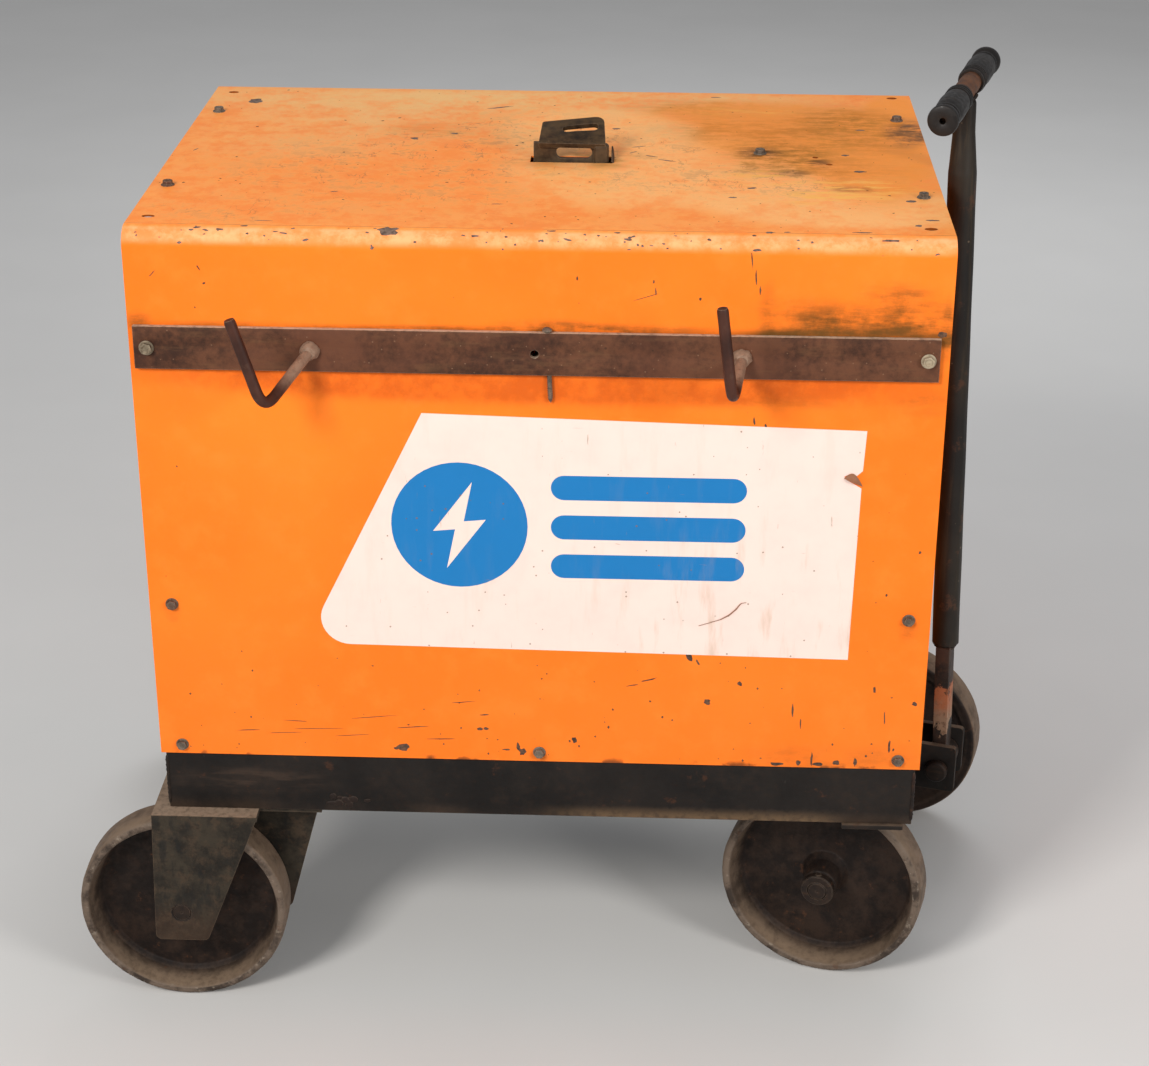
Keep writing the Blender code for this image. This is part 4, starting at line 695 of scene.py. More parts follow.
POINTER_RED = plain("pointer_red", (0.55, 0.025, 0.015), 0.40, grain=400.0, depth=0.00002)
LAMP = plain("lamp_amber", (0.85, 0.27, 0.015), 0.18, grain=120.0, dirt=0.15)
BRASS = plain("dull_brass", (0.48, 0.32, 0.11), 0.34, 0.85, grain=260.0)
BOARD = plain("phenolic_board", (0.135, 0.052, 0.026), 0.50, grain=90.0)
ALUMINIUM = plain("mill_aluminium", (0.55, 0.55, 0.56), 0.34, 0.85, brushed=(30, 320, 320))
COPPER = winding("copper_winding", (0.45, 0.17, 0.055), "Z")
CORE = laminations()
GLASS = glass()
SCREW_METAL = patina("grimy_screw", (0.038, 0.028, 0.021), (0.170, 0.140, 0.112), 0.35)
BOLT_METAL = patina("strap_bolt_steel", (0.110, 0.085, 0.055), (0.420, 0.355, 0.250), 0.40)
FLAP = plain("torn_paint", (0.240, 0.095, 0.040), 0.6, grain=300.0)
BAR_RUST = patina("handlebar_rust", (0.036, 0.018, 0.011), (0.150, 0.062, 0.030), 0.10)

NODE_FINISH = {
    "case_paint": ENAMEL, "panel_paint": PANEL, "frame_paint": CHASSIS, "rusted_steel": PATINA,
    "cast_iron": AXLE_STEEL, "zinc_steel": ZINC, "grip_rubber": GRIP, "core_steel": CORE,
    "varnished_copper": COPPER, "aluminium": ALUMINIUM, "black_plastic": PLASTIC,
    "insulating_board": BOARD, "clear_glass": GLASS, "pointer_red": POINTER_RED, "lamp_amber": LAMP,
    "brass": BRASS,
}

# ---------------------------------------------------------------- mesh helpers


def add_piece(name, bm, material, body, sharp=35):
    """Makes the mesh a finished piece that rides on a body."""
    return add_mesh(name, mesh_of(bm), material, body, (), sharp)


def add_mesh(name, mesh, material, body, replaces=(), sharp=35):
    """The same from a mesh. Edges sharper than an angle in degrees stay sharp."""
    mesh.name = name
    mesh.materials.clear()
    mesh.materials.append(material)
    mesh.shade_smooth()
    mesh.set_sharp_from_angle(angle=radians(sharp))
    ob = bpy.data.objects.new(name, mesh)
    bpy.context.scene.collection.objects.link(ob)
    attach(ob, body)
    if replaces:
        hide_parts(*replaces)
        for node in replaces:
            SHOWN_BY[node] = name
    return ob


def stand_for(node, name, bm, material, sharp=35):
    """Makes the mesh the piece that shows a CAD node, on its body."""
    return add_mesh(name, mesh_of(bm), material, BODY_OF[node], [node], sharp)


def settled(ob):
    """The object's mesh with its modifiers applied. The object is removed."""
    graph = bpy.context.evaluated_depsgraph_get()
    mesh = bpy.data.meshes.new_from_object(ob.evaluated_get(graph))
    bpy.data.objects.remove(ob)
    return mesh


def loose(mesh):
    """The mesh as an object that modifiers can work on."""
    ob = bpy.data.objects.new("loose", mesh)
    bpy.context.scene.collection.objects.link(ob)
    return ob


def thickened(mesh, thickness, offset=-1, even=False):
    """The mesh as a loose object with a thickness of its own."""
    ob = loose(mesh)
    solid = ob.modifiers.new("thickness", "SOLIDIFY")
    solid.thickness = thickness
    solid.offset = offset
    solid.use_even_offset = even
    return ob


def mesh_of(bm):
    """The bmesh as a mesh with its normals outward. The bmesh is freed."""
    mesh = bpy.data.meshes.new("made")
    bmesh.ops.recalc_face_normals(bm, faces=bm.faces)
    bm.to_mesh(mesh)
    bm.free()
    return mesh


FLAT_WITHIN = 0.6  # degrees between CAD triangles that make up one flat face


def node_bmesh(node):
    """The CAD node's mesh, welded, with its flat faces joined up again."""
    bm = bmesh.new()
    bm.from_mesh(frame["nodes"][node].data)
    bmesh.ops.remove_doubles(bm, verts=bm.verts, dist=0.00001)
    bmesh.ops.dissolve_limit(bm, angle_limit=radians(FLAT_WITHIN), verts=bm.verts, edges=bm.edges)
    return bm


BEVEL_ABOVE = 32  # degrees across an edge that gets a round


def bevelled(mesh, width, segments=2):
    """The mesh with its edges rounded."""
    ob = loose(mesh)
    bevel = ob.modifiers.new("edges", "BEVEL")
    bevel.width = width
    bevel.segments = segments
    bevel.limit_method = "ANGLE"
    bevel.angle_limit = radians(BEVEL_ABOVE)
    bevel.use_clamp_overlap = True
    bevel.harden_normals = False
    return settled(ob)


def refined(node, width, material, segments=2, name=None):
    """The CAD node with every edge broken by a small round, as a piece that stands for it."""
    mesh = bevelled(mesh_of(node_bmesh(node)), width, segments)
    return add_mesh(name or node + "_finished", mesh, material, BODY_OF[node], [node])


def roughened(bm, amount, scale, seed=0.0):
    """Moves every vertex along its normal by smooth noise."""
    bm.normal_update()
    offset = Vector((seed, seed * 2, -seed))
    for v in bm.verts:
        v.co += v.normal * amount * noise.noise(v.co * scale + offset)
    return bm


def join_rows(bm, rows, closed=False):
    """Quads between neighbouring rows of vertices. A closed row's ends join as well."""
    for a, b in zip(rows, rows[1:]):
        for k in range(len(a) if closed else len(a) - 1):
            after = (k + 1) % len(a)
            bm.faces.new((a[k], a[after], b[after], b[k]))


def centre_of(node):
    """The middle of a CAD node's box."""
    low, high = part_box(node)
    return (low + high) / 2


def around(steps):
    """The angles of a full turn, with both ends."""
    return [2 * pi * k / steps for k in range(steps + 1)]


def softened(points, radius, steps=4, closed=False):
    """A polyline with each corner rounded, by as much of the radius as its sides leave room for."""
    made = []
    count = len(points)
    for i, point in enumerate(points):
        here = Vector(point)
        if not closed and i in (0, count - 1):
            made.append(here)
            continue
        back = Vector(points[i - 1]) - here
        ahead = Vector(points[(i + 1) % count]) - here
        angle = back.angle(ahead)
        if angle > radians(172):
            made.append(here)
            continue
        reach = radius / max(1e-6, abs(sin(angle / 2) / cos(angle / 2)))
        reach = min(reach, back.length * 0.45, ahead.length * 0.45)
        start, stop = here + back.normalized() * reach, here + ahead.normalized() * reach
        for k in range(steps + 1):
            t = k / steps
            made.append(start * (1 - t) ** 2 + here * 2 * t * (1 - t) + stop * t * t)
    return made


def lathe(profile, place, steps=96, closed=True, wobble=None):
    """Turns (radius, height) points about the local Z of a matrix, and returns a bmesh in world space."""
    bm = bmesh.new()
    rings = []
    for radius, height in profile:
        if radius < 1e-6:
            rings.append([bm.verts.new(place @ Vector((0, 0, height)))])
            continue
        ring = []
        for k in range(steps):
            angle = 2 * pi * k / steps
            r = radius + (wobble(angle, height) if wobble else 0.0)
            ring.append(bm.verts.new(place @ Vector((r * cos(angle), r * sin(angle), height))))
        rings.append(ring)
    pairs = list(zip(rings, rings[1:]))
    if closed:
        pairs.append((rings[-1], rings[0]))
    for a, b in pairs:
        for k in range(steps):
            corners = [a[k % len(a)], a[(k + 1) % len(a)], b[(k + 1) % len(b)], b[k % len(b)]]
            unique = list(dict.fromkeys(corners))
            if len(unique) > 2:
                bm.faces.new(unique)
    return bm


def tube_along(points, radius, sides=20, swell=None, bm=None):
    """A round bar with closed ends. swell gives a factor on its radius by share of length."""
    bm = bm or bmesh.new()
    points = [Vector(p) for p in points]
    along = (points[1] - points[0]).normalized()
    across = along.orthogonal().normalized()
    rings = []
    for i, point in enumerate(points):
        here = (points[min(i + 1, len(points) - 1)] - points[max(i - 1, 0)]).normalized()
        across = (across - here * across.dot(here)).normalized()
        other = here.cross(across)
        r = radius * (swell(i / (len(points) - 1)) if swell else 1.0)
        rings.append([
            bm.verts.new(point + (across * cos(2 * pi * k / sides) + other * sin(2 * pi * k / sides)) * r)
            for k in range(sides)
        ])
    join_rows(bm, rings, True)
    bm.faces.new(rings[0][::-1])
    bm.faces.new(rings[-1])
    return bm


def between(a, b, count):
    """Points at equal distances on the straight line between two."""
    a, b = Vector(a), Vector(b)
    return [a.lerp(b, k / (count - 1)) for k in range(count)]


def weld(name, runs, radius, body):
    """Weld beads along the runs, with the ripples of each pass."""
    bm = bmesh.new()
    for number, run in enumerate(runs):
        points = [Vector(p) for p in run]
        length = sum((b - a).length for a, b in zip(points, points[1:]))
        count = max(8, int(length / 0.0016))
        line = resampled(points, count)
        rng = random.Random(f"{name}{number}")
        bumps = [1 + 0.16 * sin(k * 2.1) + rng.uniform(-0.10, 0.10) for k in range(count)]

        def ripple(t):
            return bumps[round(t * (count - 1))] * min(1.0, 0.45 + 9 * min(t, 1 - t))

        tube_along(line, radius, 8, ripple, bm)
    return add_piece(name, bm, WELD, body, sharp=60)


def resampled(points, count):
    """The polyline's points at equal distances along it."""
    lengths = [0.0]
    for a, b in zip(points, points[1:]):
        lengths.append(lengths[-1] + (b - a).length)
    made = []
    for k in range(count):
        target = lengths[-1] * k / (count - 1)
        i = 0
        while i < len(points) - 2 and lengths[i + 1] < target:
            i += 1
        span = max(1e-9, lengths[i + 1] - lengths[i])
        made.append(points[i].lerp(points[i + 1], (target - lengths[i]) / span))
    return made


FRONTWARD, REARWARD, NEARWARD, UPWARD = (-1, 0, 0), (1, 0, 0), (0, -1, 0), (0, 0, 1)


def facing(point, direction, turn=0.0):
    """A matrix at the point whose local Z runs along the direction."""
    turned = Vector(direction).to_track_quat("Z", "Y").to_matrix().to_4x4()
    return Matrix.Translation(point) @ turned @ Matrix.Rotation(turn, 4, "Z")


def add_turned(bm, profile, place, steps, closed=False):
    """Adds another turned shape to the bmesh."""
    bm.from_mesh(mesh_of(lathe(profile, place, steps, closed)))


def screw_head(bm, place, flats, height, flange, flange_height=0.0012):
    """A hexagon head on its washer flange, with a chamfered and dished top."""
    steps = 48
    apothem = flats / 2

    def hexagon(angle):
        return apothem / cos((angle + pi / 6) % (pi / 3) - pi / 6)

    angles = around(steps)[:-1]
    chamfer = apothem * 1.02
    rings = [
        [(flange, 0.0)] * steps,
        [(flange * 0.99, flange_height * 0.6)] * steps,
        [(flange * 0.88, flange_height)] * steps,
        [(hexagon(a), flange_height) for a in angles],
        [(hexagon(a), height - (hexagon(a) - apothem) * 0.6) for a in angles],
        [(min(hexagon(a), chamfer) * 0.97, height) for a in angles],
        [(apothem * 0.72, height)] * steps,
        [(apothem * 0.62, height - 0.0007)] * steps,
    ]
    made = []
    for ring in rings:
        points = [(r * cos(a), r * sin(a), h) for a, (r, h) in zip(angles, ring)]
        made.append([bm.verts.new(place @ Vector(point)) for point in points])
    join_rows(bm, made, True)
    bm.faces.new(made[-1])
    bm.faces.new(made[0][::-1])


# ---------------------------------------------------------------- case

DENT = 0.0005


def dent(point):
    """How far the case's sheet is pushed in at a point: a slow waviness that fades at every edge."""
    edge = min(point.x - LEFT, RIGHT - point.x)
    if point.z > TOP - 0.004:
        edge = min(edge, point.y - NEAR - 0.02, FAR - 0.02 - point.y)
    else:
        edge = min(edge, point.z - CASE_LOW.z, TOP - 0.02 - point.z)
    edge = max(0.0, min(1.0, edge / 0.07))
    wave = noise.noise(Vector((point.x * 6.0, point.y * 6.0, point.z * 7.0)))
    return DENT * edge * edge * (3 - 2 * edge) * (0.5 + 0.5 * wave)


def case_section():
    """(y, z, outward normal) along the case's cross-section, from the near foot over to the far one."""
    flat_steps, bend_steps = 50, 12
    side = TOP - BEND - CASE_LOW.z
    width = FAR - NEAR - 2 * BEND
    flat = range(1, flat_steps + 1)
    bend = [radians(90 * k / bend_steps) for k in range(1, bend_steps + 1)]
    rows = [(NEAR, CASE_LOW.z, NEARWARD)]
    rows += [(NEAR, CASE_LOW.z + side * k / flat_steps, NEARWARD) for k in flat]
    rows += [(NEAR + BEND * (1 - cos(a)), TOP - BEND * (1 - sin(a)), (0, -cos(a), sin(a))) for a in bend]
    rows += [(NEAR + BEND + width * k / flat_steps, TOP, (0, 0, 1)) for k in flat]
    rows += [(FAR - BEND * (1 - sin(a)), TOP - BEND * (1 - cos(a)), (0, sin(a), cos(a))) for a in bend]
    rows += [(FAR, TOP - BEND - side * k / flat_steps, (0, 1, 0)) for k in flat]
    return rows


def drill(place, half_x, half_y, segments):
    """A loose cylinder that cuts a hole."""
    bm = bmesh.new()
    sized = place @ Matrix.Diagonal((half_x, half_y, 1, 1))
    round_bar = {"cap_ends": True, "radius1": 1, "radius2": 1, "depth": 0.02}
    bmesh.ops.create_cone(bm, segments=segments, matrix=sized, **round_bar)
    return loose(mesh_of(bm))


def make_case():
    """The wrapper: one sheet with true thickness, waviness, punched holes and the eye's opening."""
    bm = bmesh.new()
    columns = 73
    rows = case_section()
    grid = []
    for i in range(columns):
        x = LEFT + (RIGHT - LEFT) * i / (columns - 1)
        line = []
        for y, z, normal in rows:
            point = Vector((x, y, z))
            line.append(bm.verts.new(point - Vector(normal) * dent(point)))
        grid.append(line)
    for a, b in zip(grid, grid[1:]):
        for k in range(len(rows) - 1):
            bm.faces.new((a[k], b[k], b[k + 1], a[k + 1]))
    bmesh.ops.recalc_face_normals(bm, faces=bm.faces)
    middle = min(bm.faces, key=lambda f: (f.calc_center_median() - Vector((0, MID_Y, TOP))).length)
    if middle.normal.z < 0:
        bmesh.ops.reverse_faces(bm, faces=bm.faces)
    mesh = bpy.data.meshes.new("case_sheet")
    bm.to_mesh(mesh)
    bm.free()
    ob = thickened(mesh, SHEET, even=True)
    cutters = []
    for x, y, half_x, half_y in TOP_HOLES:
        cutters.append(drill(Matrix.Translation(on_top(x, y)), half_x / 1000, half_y / 1000, 28))
    eye = bmesh.new()
    low = Vector((EYE_LOW.x - 0.0030, EYE_LOW.y - 0.0030, TOP - 0.02))
    high = Vector((EYE_HIGH.x + 0.0040, EYE_LOW.y + 0.0180, TOP + 0.02))
    box = Matrix.Translation((low + high) / 2) @ Matrix.Diagonal((*(high - low), 1))
    bmesh.ops.create_cube(eye, size=1.0, matrix=box)
    cutters.append(loose(mesh_of(eye)))
    through_side = Matrix.Translation(STRAP_HOLE) @ Matrix.Rotation(pi / 2, 4, "X")
    cutters.append(drill(through_side, 0.0031, 0.0031, 24))
    for cutter in cutters:
        step = ob.modifiers.new("hole", "BOOLEAN")
        step.object = cutter
        step.solver = "EXACT"
    mesh = settled(ob)
    for cutter in cutters:
        bpy.data.objects.remove(cutter)
    add_mesh("case_sheet", mesh, ENAMEL, "cart", ["case_wrapper"], 30)


def make_eye_opening():
    """The sheet's torn edge bent up beside the lifting eye."""
    bm = bmesh.new()
    x0 = EYE_HIGH.x + 0.0012
    rows = []
    rng = random.Random(4)
    for k in range(13):
        y = EYE_LOW.y - 0.002 + 0.019 * k / 12
        rise = 0.0125 * (0.25 + 0.75 * k / 12) + rng.uniform(-0.0008, 0.0008)
        rows.append([
            bm.verts.new((x0 + 0.0034 - 0.0016 * t * t, y, TOP - 0.0012 + rise * t))
            for t in (0.0, 0.35, 0.7, 1.0)
        ])
    join_rows(bm, rows)
    burr = settled(thickened(mesh_of(bm), 0.0013, 0))
    add_mesh("eye_opening_burr", burr, BURR, "cart")


def chip_outline(rng, centre, half_u, half_v, turn=0.0, points=11):
    """A ragged outline in millimetres."""
    made = []
    for k in range(points):
        angle = 2 * pi * k / points
        r = rng.uniform(0.62, 1.12)
        u, v = half_u * r * cos(angle), half_v * r * sin(angle)
        made.append((centre[0] + u * cos(turn) - v * sin(turn), centre[1] + u * sin(turn) + v * cos(turn)))
    return made


# Chips as x, y (or height), both half sizes in millimetres, and turn in degrees.
SIDE_CHIPS = (
    (232, 12, 7.0, 4.2, 0), (226, 11, 3.0, 2.0, 0), (305, 34, 3.4, 2.0, 0), (311, 34, 2.6, 1.8, 0),
    (394, 24, 2.6, 3.4, 0), (706, 227, 1.6, 1.6, 0), (673, 85, 1.7, 4.0, 5), (711, 71, 2.8, 2.4, 0),
    (463, 90, 9.0, 0.9, 16), (448, 84, 6.0, 0.6, 12), (310, 49, 5.0, 0.8, 3), (289, 62, 12.0, 0.5, 6),
    (585, 3, 7.5, 2.2, 0), (606, 5, 2.4, 3.4, 0), (618, 9, 1.2, 7.5, 0), (624, 4, 5.0, 2.0, 0),
    (641, 6, 3.6, 2.8, 0), (659, 7, 1.8, 5.0, 0), (548, 88, 2.4, 3.0, 20), (518, 68, 3.4, 3.4, 0),
    (598, 62, 1.0, 8.0, 2), (606, 48, 0.8, 6.0, 0), (684, 55, 0.8, 9.0, 3), (690, 26, 1.2, 8.0, 0),
    (552, 352, 1.0, 5.0, 8), (563, 345, 1.2, 5.5, 14), (712, 436, 4.0, 3.2, 0), (708, 404, 4.0, 1.0, 0),
    (545, 501, 0.6, 9.0, 5), (549, 486, 0.8, 7.5, 4), (553, 474, 0.8, 4.5, 0),
    (455, 466, 12.0, 0.35, 18), (463, 471, 0.7, 4.0, 4), (70, 472, 1.6, 1.0, 0), (66, 486, 0.8, 3.0, 30),
    (25, 480, 5.0, 0.5, 48), (395, 482, 0.9, 2.2, 0), (461, 480, 0.8, 2.0, 0), (120, 25, 20.0, 0.35, 3),
    (150, 30, 24.0, 0.4, 2), (185, 24, 18.0, 0.35, 4), (240, 34, 16.0, 0.5, 5), (130, 38, 14.0, 0.4, -2),
    (268, 22, 13.0, 0.5, 2), (205, 44, 22.0, 0.35, 6), (86, 27, 12.0, 0.5, 3), (330, 12, 4.0, 1.0, 0),
    (341, 16, 2.0, 5.5, 8), (345, 10, 3.5, 4.5, 0), (500, 116, 3.0, 7.0, 20), (508, 110, 1.2, 4.0, 28),
)
TOP_CHIPS = (
    (231, 11, 9.5, 6.0, 0), (48, 432, 8.0, 11.0, 0), (372, 14, 4.0, 1.2, 0), (560, 18, 5.0, 2.4, 0),
    (640, 22, 9.0, 1.6, 0), (664, 8, 9.0, 1.4, 0), (690, 44, 4.0, 3.0, 20), (704, 60, 6.0, 2.2, 0),
    (650, 208, 6.5, 3.4, 0), (640, 262, 4.0, 3.0, 20), (660, 352, 5.0, 2.2, 0), (690, 116, 5.0, 3.2, 0),
    (225, 300, 4.0, 5.0, 30), (262, 320, 4.0, 3.0, 0), (300, 420, 14.0, 1.8, 25), (520, 470, 6.0, 1.4, 0),
    (420, 345, 4.0, 3.0, 0), (548, 150, 5.0, 2.4, 10), (530, 120, 4.0, 2.2, 0), (120, 30, 9.0, 0.7, 0),
    (455, 250, 7.0, 1.1, -28), (470, 236, 9.0, 1.4, -22), (444, 282, 9.0, 0.9, 20), (438, 262, 5.0, 0.8, 40),
    (575, 20, 3.0, 1.2, 0), (20, 250, 5.0, 0.8, 70), (170, 120, 4.0, 1.0, 20), (320, 90, 6.0, 0.8, 4),
)


def on_plane(plane, u, v):
    """A point and its outward normal: u along the case, v up a side or in from the top's near edge."""
    x = LEFT + u / 1000
    if plane != "top":
        side, out = (NEAR, -1) if plane == "near" else (FAR, 1)
        point, normal = Vector((x, side, FLOOR_OF_CASE + v / 1000)), Vector((0, out, 0))
    elif v / 1000 >= BEND:
        point, normal = Vector((x, NEAR + v / 1000, TOP)), Vector((0, 0, 1))
    else:
        angle = (BEND - v / 1000) / BEND
        normal = Vector((0, -sin(angle), cos(angle)))
        point = Vector((x, NEAR + BEND, TOP - BEND)) + normal * BEND
    return point - normal * dent(point), normal


FLAKE_LIFT, FLAKE_DEPTH, FLAKE_RINGS = 0.00009, 0.0002, 3


def add_flake(bm, outline, plane):
    """A thin flake that follows the sheet, built in rings so that it also follows the bend."""
    count = len(outline)
    centre = (sum(u for u, v in outline) / count, sum(v for u, v in outline) / count)

    def ring(share, lift):
        made = []
        for u, v in outline:
            across, along = centre[0] + (u - centre[0]) * share, centre[1] + (v - centre[1]) * share
            point, normal = on_plane(plane, across, along)
            made.append(bm.verts.new(point + normal * lift))
        return made

    surface = [ring(k / FLAKE_RINGS, FLAKE_LIFT) for k in range(FLAKE_RINGS, 0, -1)]
    join_rows(bm, surface, True)
    bm.faces.new(surface[-1])
    low = ring(1.0, -FLAKE_DEPTH)
    join_rows(bm, [low, surface[0]], True)
    bm.faces.new(low[::-1])


def under_decal(x, z):
    """Whether a point on a side is where the decal lies."""
    return 150 < x < 655 and 112 < z < 358


def make_chips():
    """Chips and scores through the paint: the large ones listed and a fine scatter by rule."""
    rng = random.Random(11)
    dark, grey = bmesh.new(), bmesh.new()
    for chips, bm, plane, points in ((SIDE_CHIPS, dark, "near", 11), (TOP_CHIPS, grey, "top", 15)):
        for x, v, half_u, half_v, turn in chips:
            add_flake(bm, chip_outline(rng, (x, v), half_u, half_v, radians(turn), points), plane)
    for _ in range(110):
        x, z = rng.uniform(10, 710), rng.uniform(6, 495)
        if rng.random() < 0.5:
            z = 6 + 110 * rng.random() ** 1.6
        if 385 < z < 440 or under_decal(x, z):
            continue
        size = rng.uniform(0.35, 1.2)
        add_flake(dark, chip_outline(rng, (x, z), size, size * rng.uniform(0.5, 1.6), 0, 8), "near")
    for _ in range(150):
        x, z = rng.uniform(10, 710), 6 + 490 * rng.random() ** 1.5
        if under_decal(x, z):
            continue
        size = rng.uniform(0.4, 2.2)
        stretch = rng.choice((0.4, 1.0, 1.6, 6.0))
        turn = rng.uniform(-0.4, 0.4)
        outline = chip_outline(rng, (x, z), size * stretch ** 0.5, size / stretch ** 0.5, turn, 9)
        add_flake(dark, outline, "far")
    for _ in range(60):
        x, y = rng.uniform(12, 708), rng.uniform(24, 480)
        size = rng.uniform(0.4, 1.3)
        add_flake(dark, chip_outline(rng, (x, y), size * 1.4, size, rng.uniform(-1, 1), 8), "top")
    for _ in range(75):
        x, y = rng.uniform(8, 712), rng.triangular(-8, 17, 9)
        size = rng.uniform(0.4, 1.4)
        stretch = rng.choice((1.0, 1.6, 3.0))
        outline = chip_outline(rng, (x, y), size * stretch, size, rng.uniform(-0.3, 0.3), 9)
        add_flake(grey, outline, "top")
    add_piece("paint_chips", dark, CHIP, "cart")
    add_piece("worn_to_primer", grey, PRIMER, "cart")


def make_case_screws():
    """Hexagon washer-head screws that hold the wrapper to the panels and the base."""
    bm = bmesh.new()
    rng = random.Random(3)
    flats, height = 0.0082, 0.0046
    for side, out in ((NEAR, -1), (FAR, 1)):
        for x, z in ((21, 159), (700, 158), (21, 10), (361, 10), (699, 10)):
            point = Vector((LEFT + x / 1000, side, FLOOR_OF_CASE + z / 1000))
            screw_head(bm, facing(point, (0, out, 0), rng.uniform(0, 1)), flats, height, 0.0060)
    for x, y in ((16, 132), (18, 389), (702, 128), (699, 389), (559, 264)):
        point = on_top(x, y)
        point.z -= dent(point)
        screw_head(bm, facing(point, UPWARD, rng.uniform(0, 1)), flats, height, 0.0062)
    add_piece("case_screws", bm, SCREW_METAL, "cart", sharp=28)


def cut_along(bm, axis, low, high, step):
    """Cuts the mesh by planes across an axis, so that it can follow a wavy surface."""
    value = low + step
    while value < high:
        point, normal = Vector((0, 0, 0)), Vector((0, 0, 0))
        point[axis] = value
        normal[axis] = 1
        everything = bm.verts[:] + bm.edges[:] + bm.faces[:]
        bmesh.ops.bisect_plane(bm, geom=everything, plane_co=point, plane_no=normal)
        value += step


FILM_THICKNESS = 0.00012


def film(name, outlines, material, side, lift):
    """Thin film on a side of the case: outlines in millimetres along and above its lower corner."""
    bm = bmesh.new()
    for outline in outlines:
        bm.faces.new([bm.verts.new((LEFT + u / 1000, 0, FLOOR_OF_CASE + v / 1000)) for u, v in outline])
    bm.normal_update()
    bmesh.ops.triangulate(bm, faces=bm.faces, ngon_method="EAR_CLIP")
    cut_along(bm, 0, LEFT, RIGHT, 0.02)
    cut_along(bm, 2, FLOOR_OF_CASE, TOP, 0.02)
    out = -1 if side == NEAR else 1
    for v in bm.verts:
        v.co.y = side
        v.co.y += out * (lift - dent(v.co))
    bmesh.ops.recalc_face_normals(bm, faces=bm.faces)
    if sum(f.normal.y for f in bm.faces) * out < 0:
        bmesh.ops.reverse_faces(bm, faces=bm.faces)
    mesh = bpy.data.meshes.new(name)
    bm.to_mesh(mesh)
    bm.free()
    add_mesh(name, settled(thickened(mesh, FILM_THICKNESS)), material, "cart")


def decal_outline():
    """The panel's outline: a slanted left side, and its lower left corner rounded."""
    radius = 27.0
    top_left, top_right, low_right = Vector((257, 354)), Vector((652, 344.5)), Vector((646.5, 116))
    foot = Vector((143, 121.6))
    up, along = (top_left - foot).normalized(), (low_right - foot).normalized()
    half = up.angle(along) / 2
    reach = radius / (sin(half) / cos(half))
    centre = foot + (up + along).normalized() * (radius / sin(half))
    start, stop = foot + along * reach - centre, foot + up * reach - centre
    sweep = stop.angle_signed(start)
    arc = []
    for k in range(13):
        arm = start.copy()
        arm.rotate(Matrix.Rotation(sweep * k / 12, 2))
        arc.append(tuple(centre + arm))
    tear = [(650.2, 306), (645, 301), (641, 303), (634, 300.5), (638, 296), (645, 292), (649.8, 289)]
    return [tuple(top_left), tuple(top_right)] + tear + [tuple(low_right)] + arc


def disc_outline(centre, radius, start=0.0, end=360.0, steps=48):
    """Points round a disc between two angles in degrees."""
    angles = [radians(start + (end - start) * k / steps) for k in range(steps + 1)]
    return [(centre[0] + radius * cos(a), centre[1] + radius * sin(a)) for a in angles]


DEVICE_CENTRE = (289, 245)


def rounded_bar(left, right, level, half):
    """A bar with half-round ends."""
    left_end = disc_outline((left + half, level), half, 90, 270, 14)
    return left_end + disc_outline((right - half, level), half, -90, 90, 14)


def device_outlines():
    """A plain generic device: a disc, and three equal bars beside it."""
    shapes = [disc_outline(DEVICE_CENTRE, 62, 0, 352.5, 47)]
    for level in (284, 245, 206):
        shapes.append(rounded_bar(372, 548, level, 12))
    return shapes


def spark_outline():
    """The zigzag that lies on the disc."""
    corners = [(12, 43), (-24, -6), (-4, -4), (-12, -43), (24, 6), (4, 4)]
    return [(DEVICE_CENTRE[0] + u, DEVICE_CENTRE[1] + v) for u, v in corners]


def make_decals():
    """The same decal on both sides: a white panel, a blue device on it, and a white spark on that."""
    width = (RIGHT - LEFT) * 1000
    layers = (
        ("decal_panel", [decal_outline()], DECAL_WHITE, 0.00018),
        ("decal_device", device_outlines(), DECAL_BLUE, 0.00030),
        ("decal_spark", [spark_outline()], DECAL_WHITE, 0.00042),
    )
    for name, shapes, material, lift in layers:
        film(name + "_near", shapes, material, NEAR, lift)
        turned = [[(width - u, v) for u, v in shape][::-1] for shape in shapes]
        film(name + "_far", turned, material, FAR, lift)


def make_decal_tear():
    """The torn flap at the decal's right edge, curled off the sheet, and the scored hair below it."""
    bm = bmesh.new()
    rows = []
    for i in range(9):
        t = i / 8
        width = 6.5 * (1 - abs(2 * t - 1) ** 1.6) + 0.6
        centre_x, centre_z = 634 + 16.5 * t, 299 - 7.5 * t + 5 * sin(pi * t)
        row = []
        for j in range(6):
            s = j / 5
            z = centre_z + width * (s - 0.55)
            lift = 0.0009 + 0.0042 * (1 - s) ** 2 * sin(pi * min(1, t * 1.1)) ** 0.7
            point = Vector((LEFT + centre_x / 1000, NEAR, FLOOR_OF_CASE + z / 1000))
            row.append(bm.verts.new(point + Vector((0, dent(point) - lift, 0))))
        rows.append(row)
    join_rows(bm, rows)
    add_mesh("decal_torn_flap", settled(thickened(mesh_of(bm), 0.0004)), FLAP, "cart")
    hair = [(508, 148), (518, 151.5), (528, 155), (536, 160), (542, 166), (546, 172), (551, 173)]
    line = softened([tuple(on_case(x, 0, z) + Vector((0, -0.0004, 0))) for x, z in hair], 0.004)
    bm = tube_along(line, 0.00045, 8, lambda t: 0.5 + 0.7 * sin(pi * t))
    add_piece("decal_score", bm, FLAP, "cart")


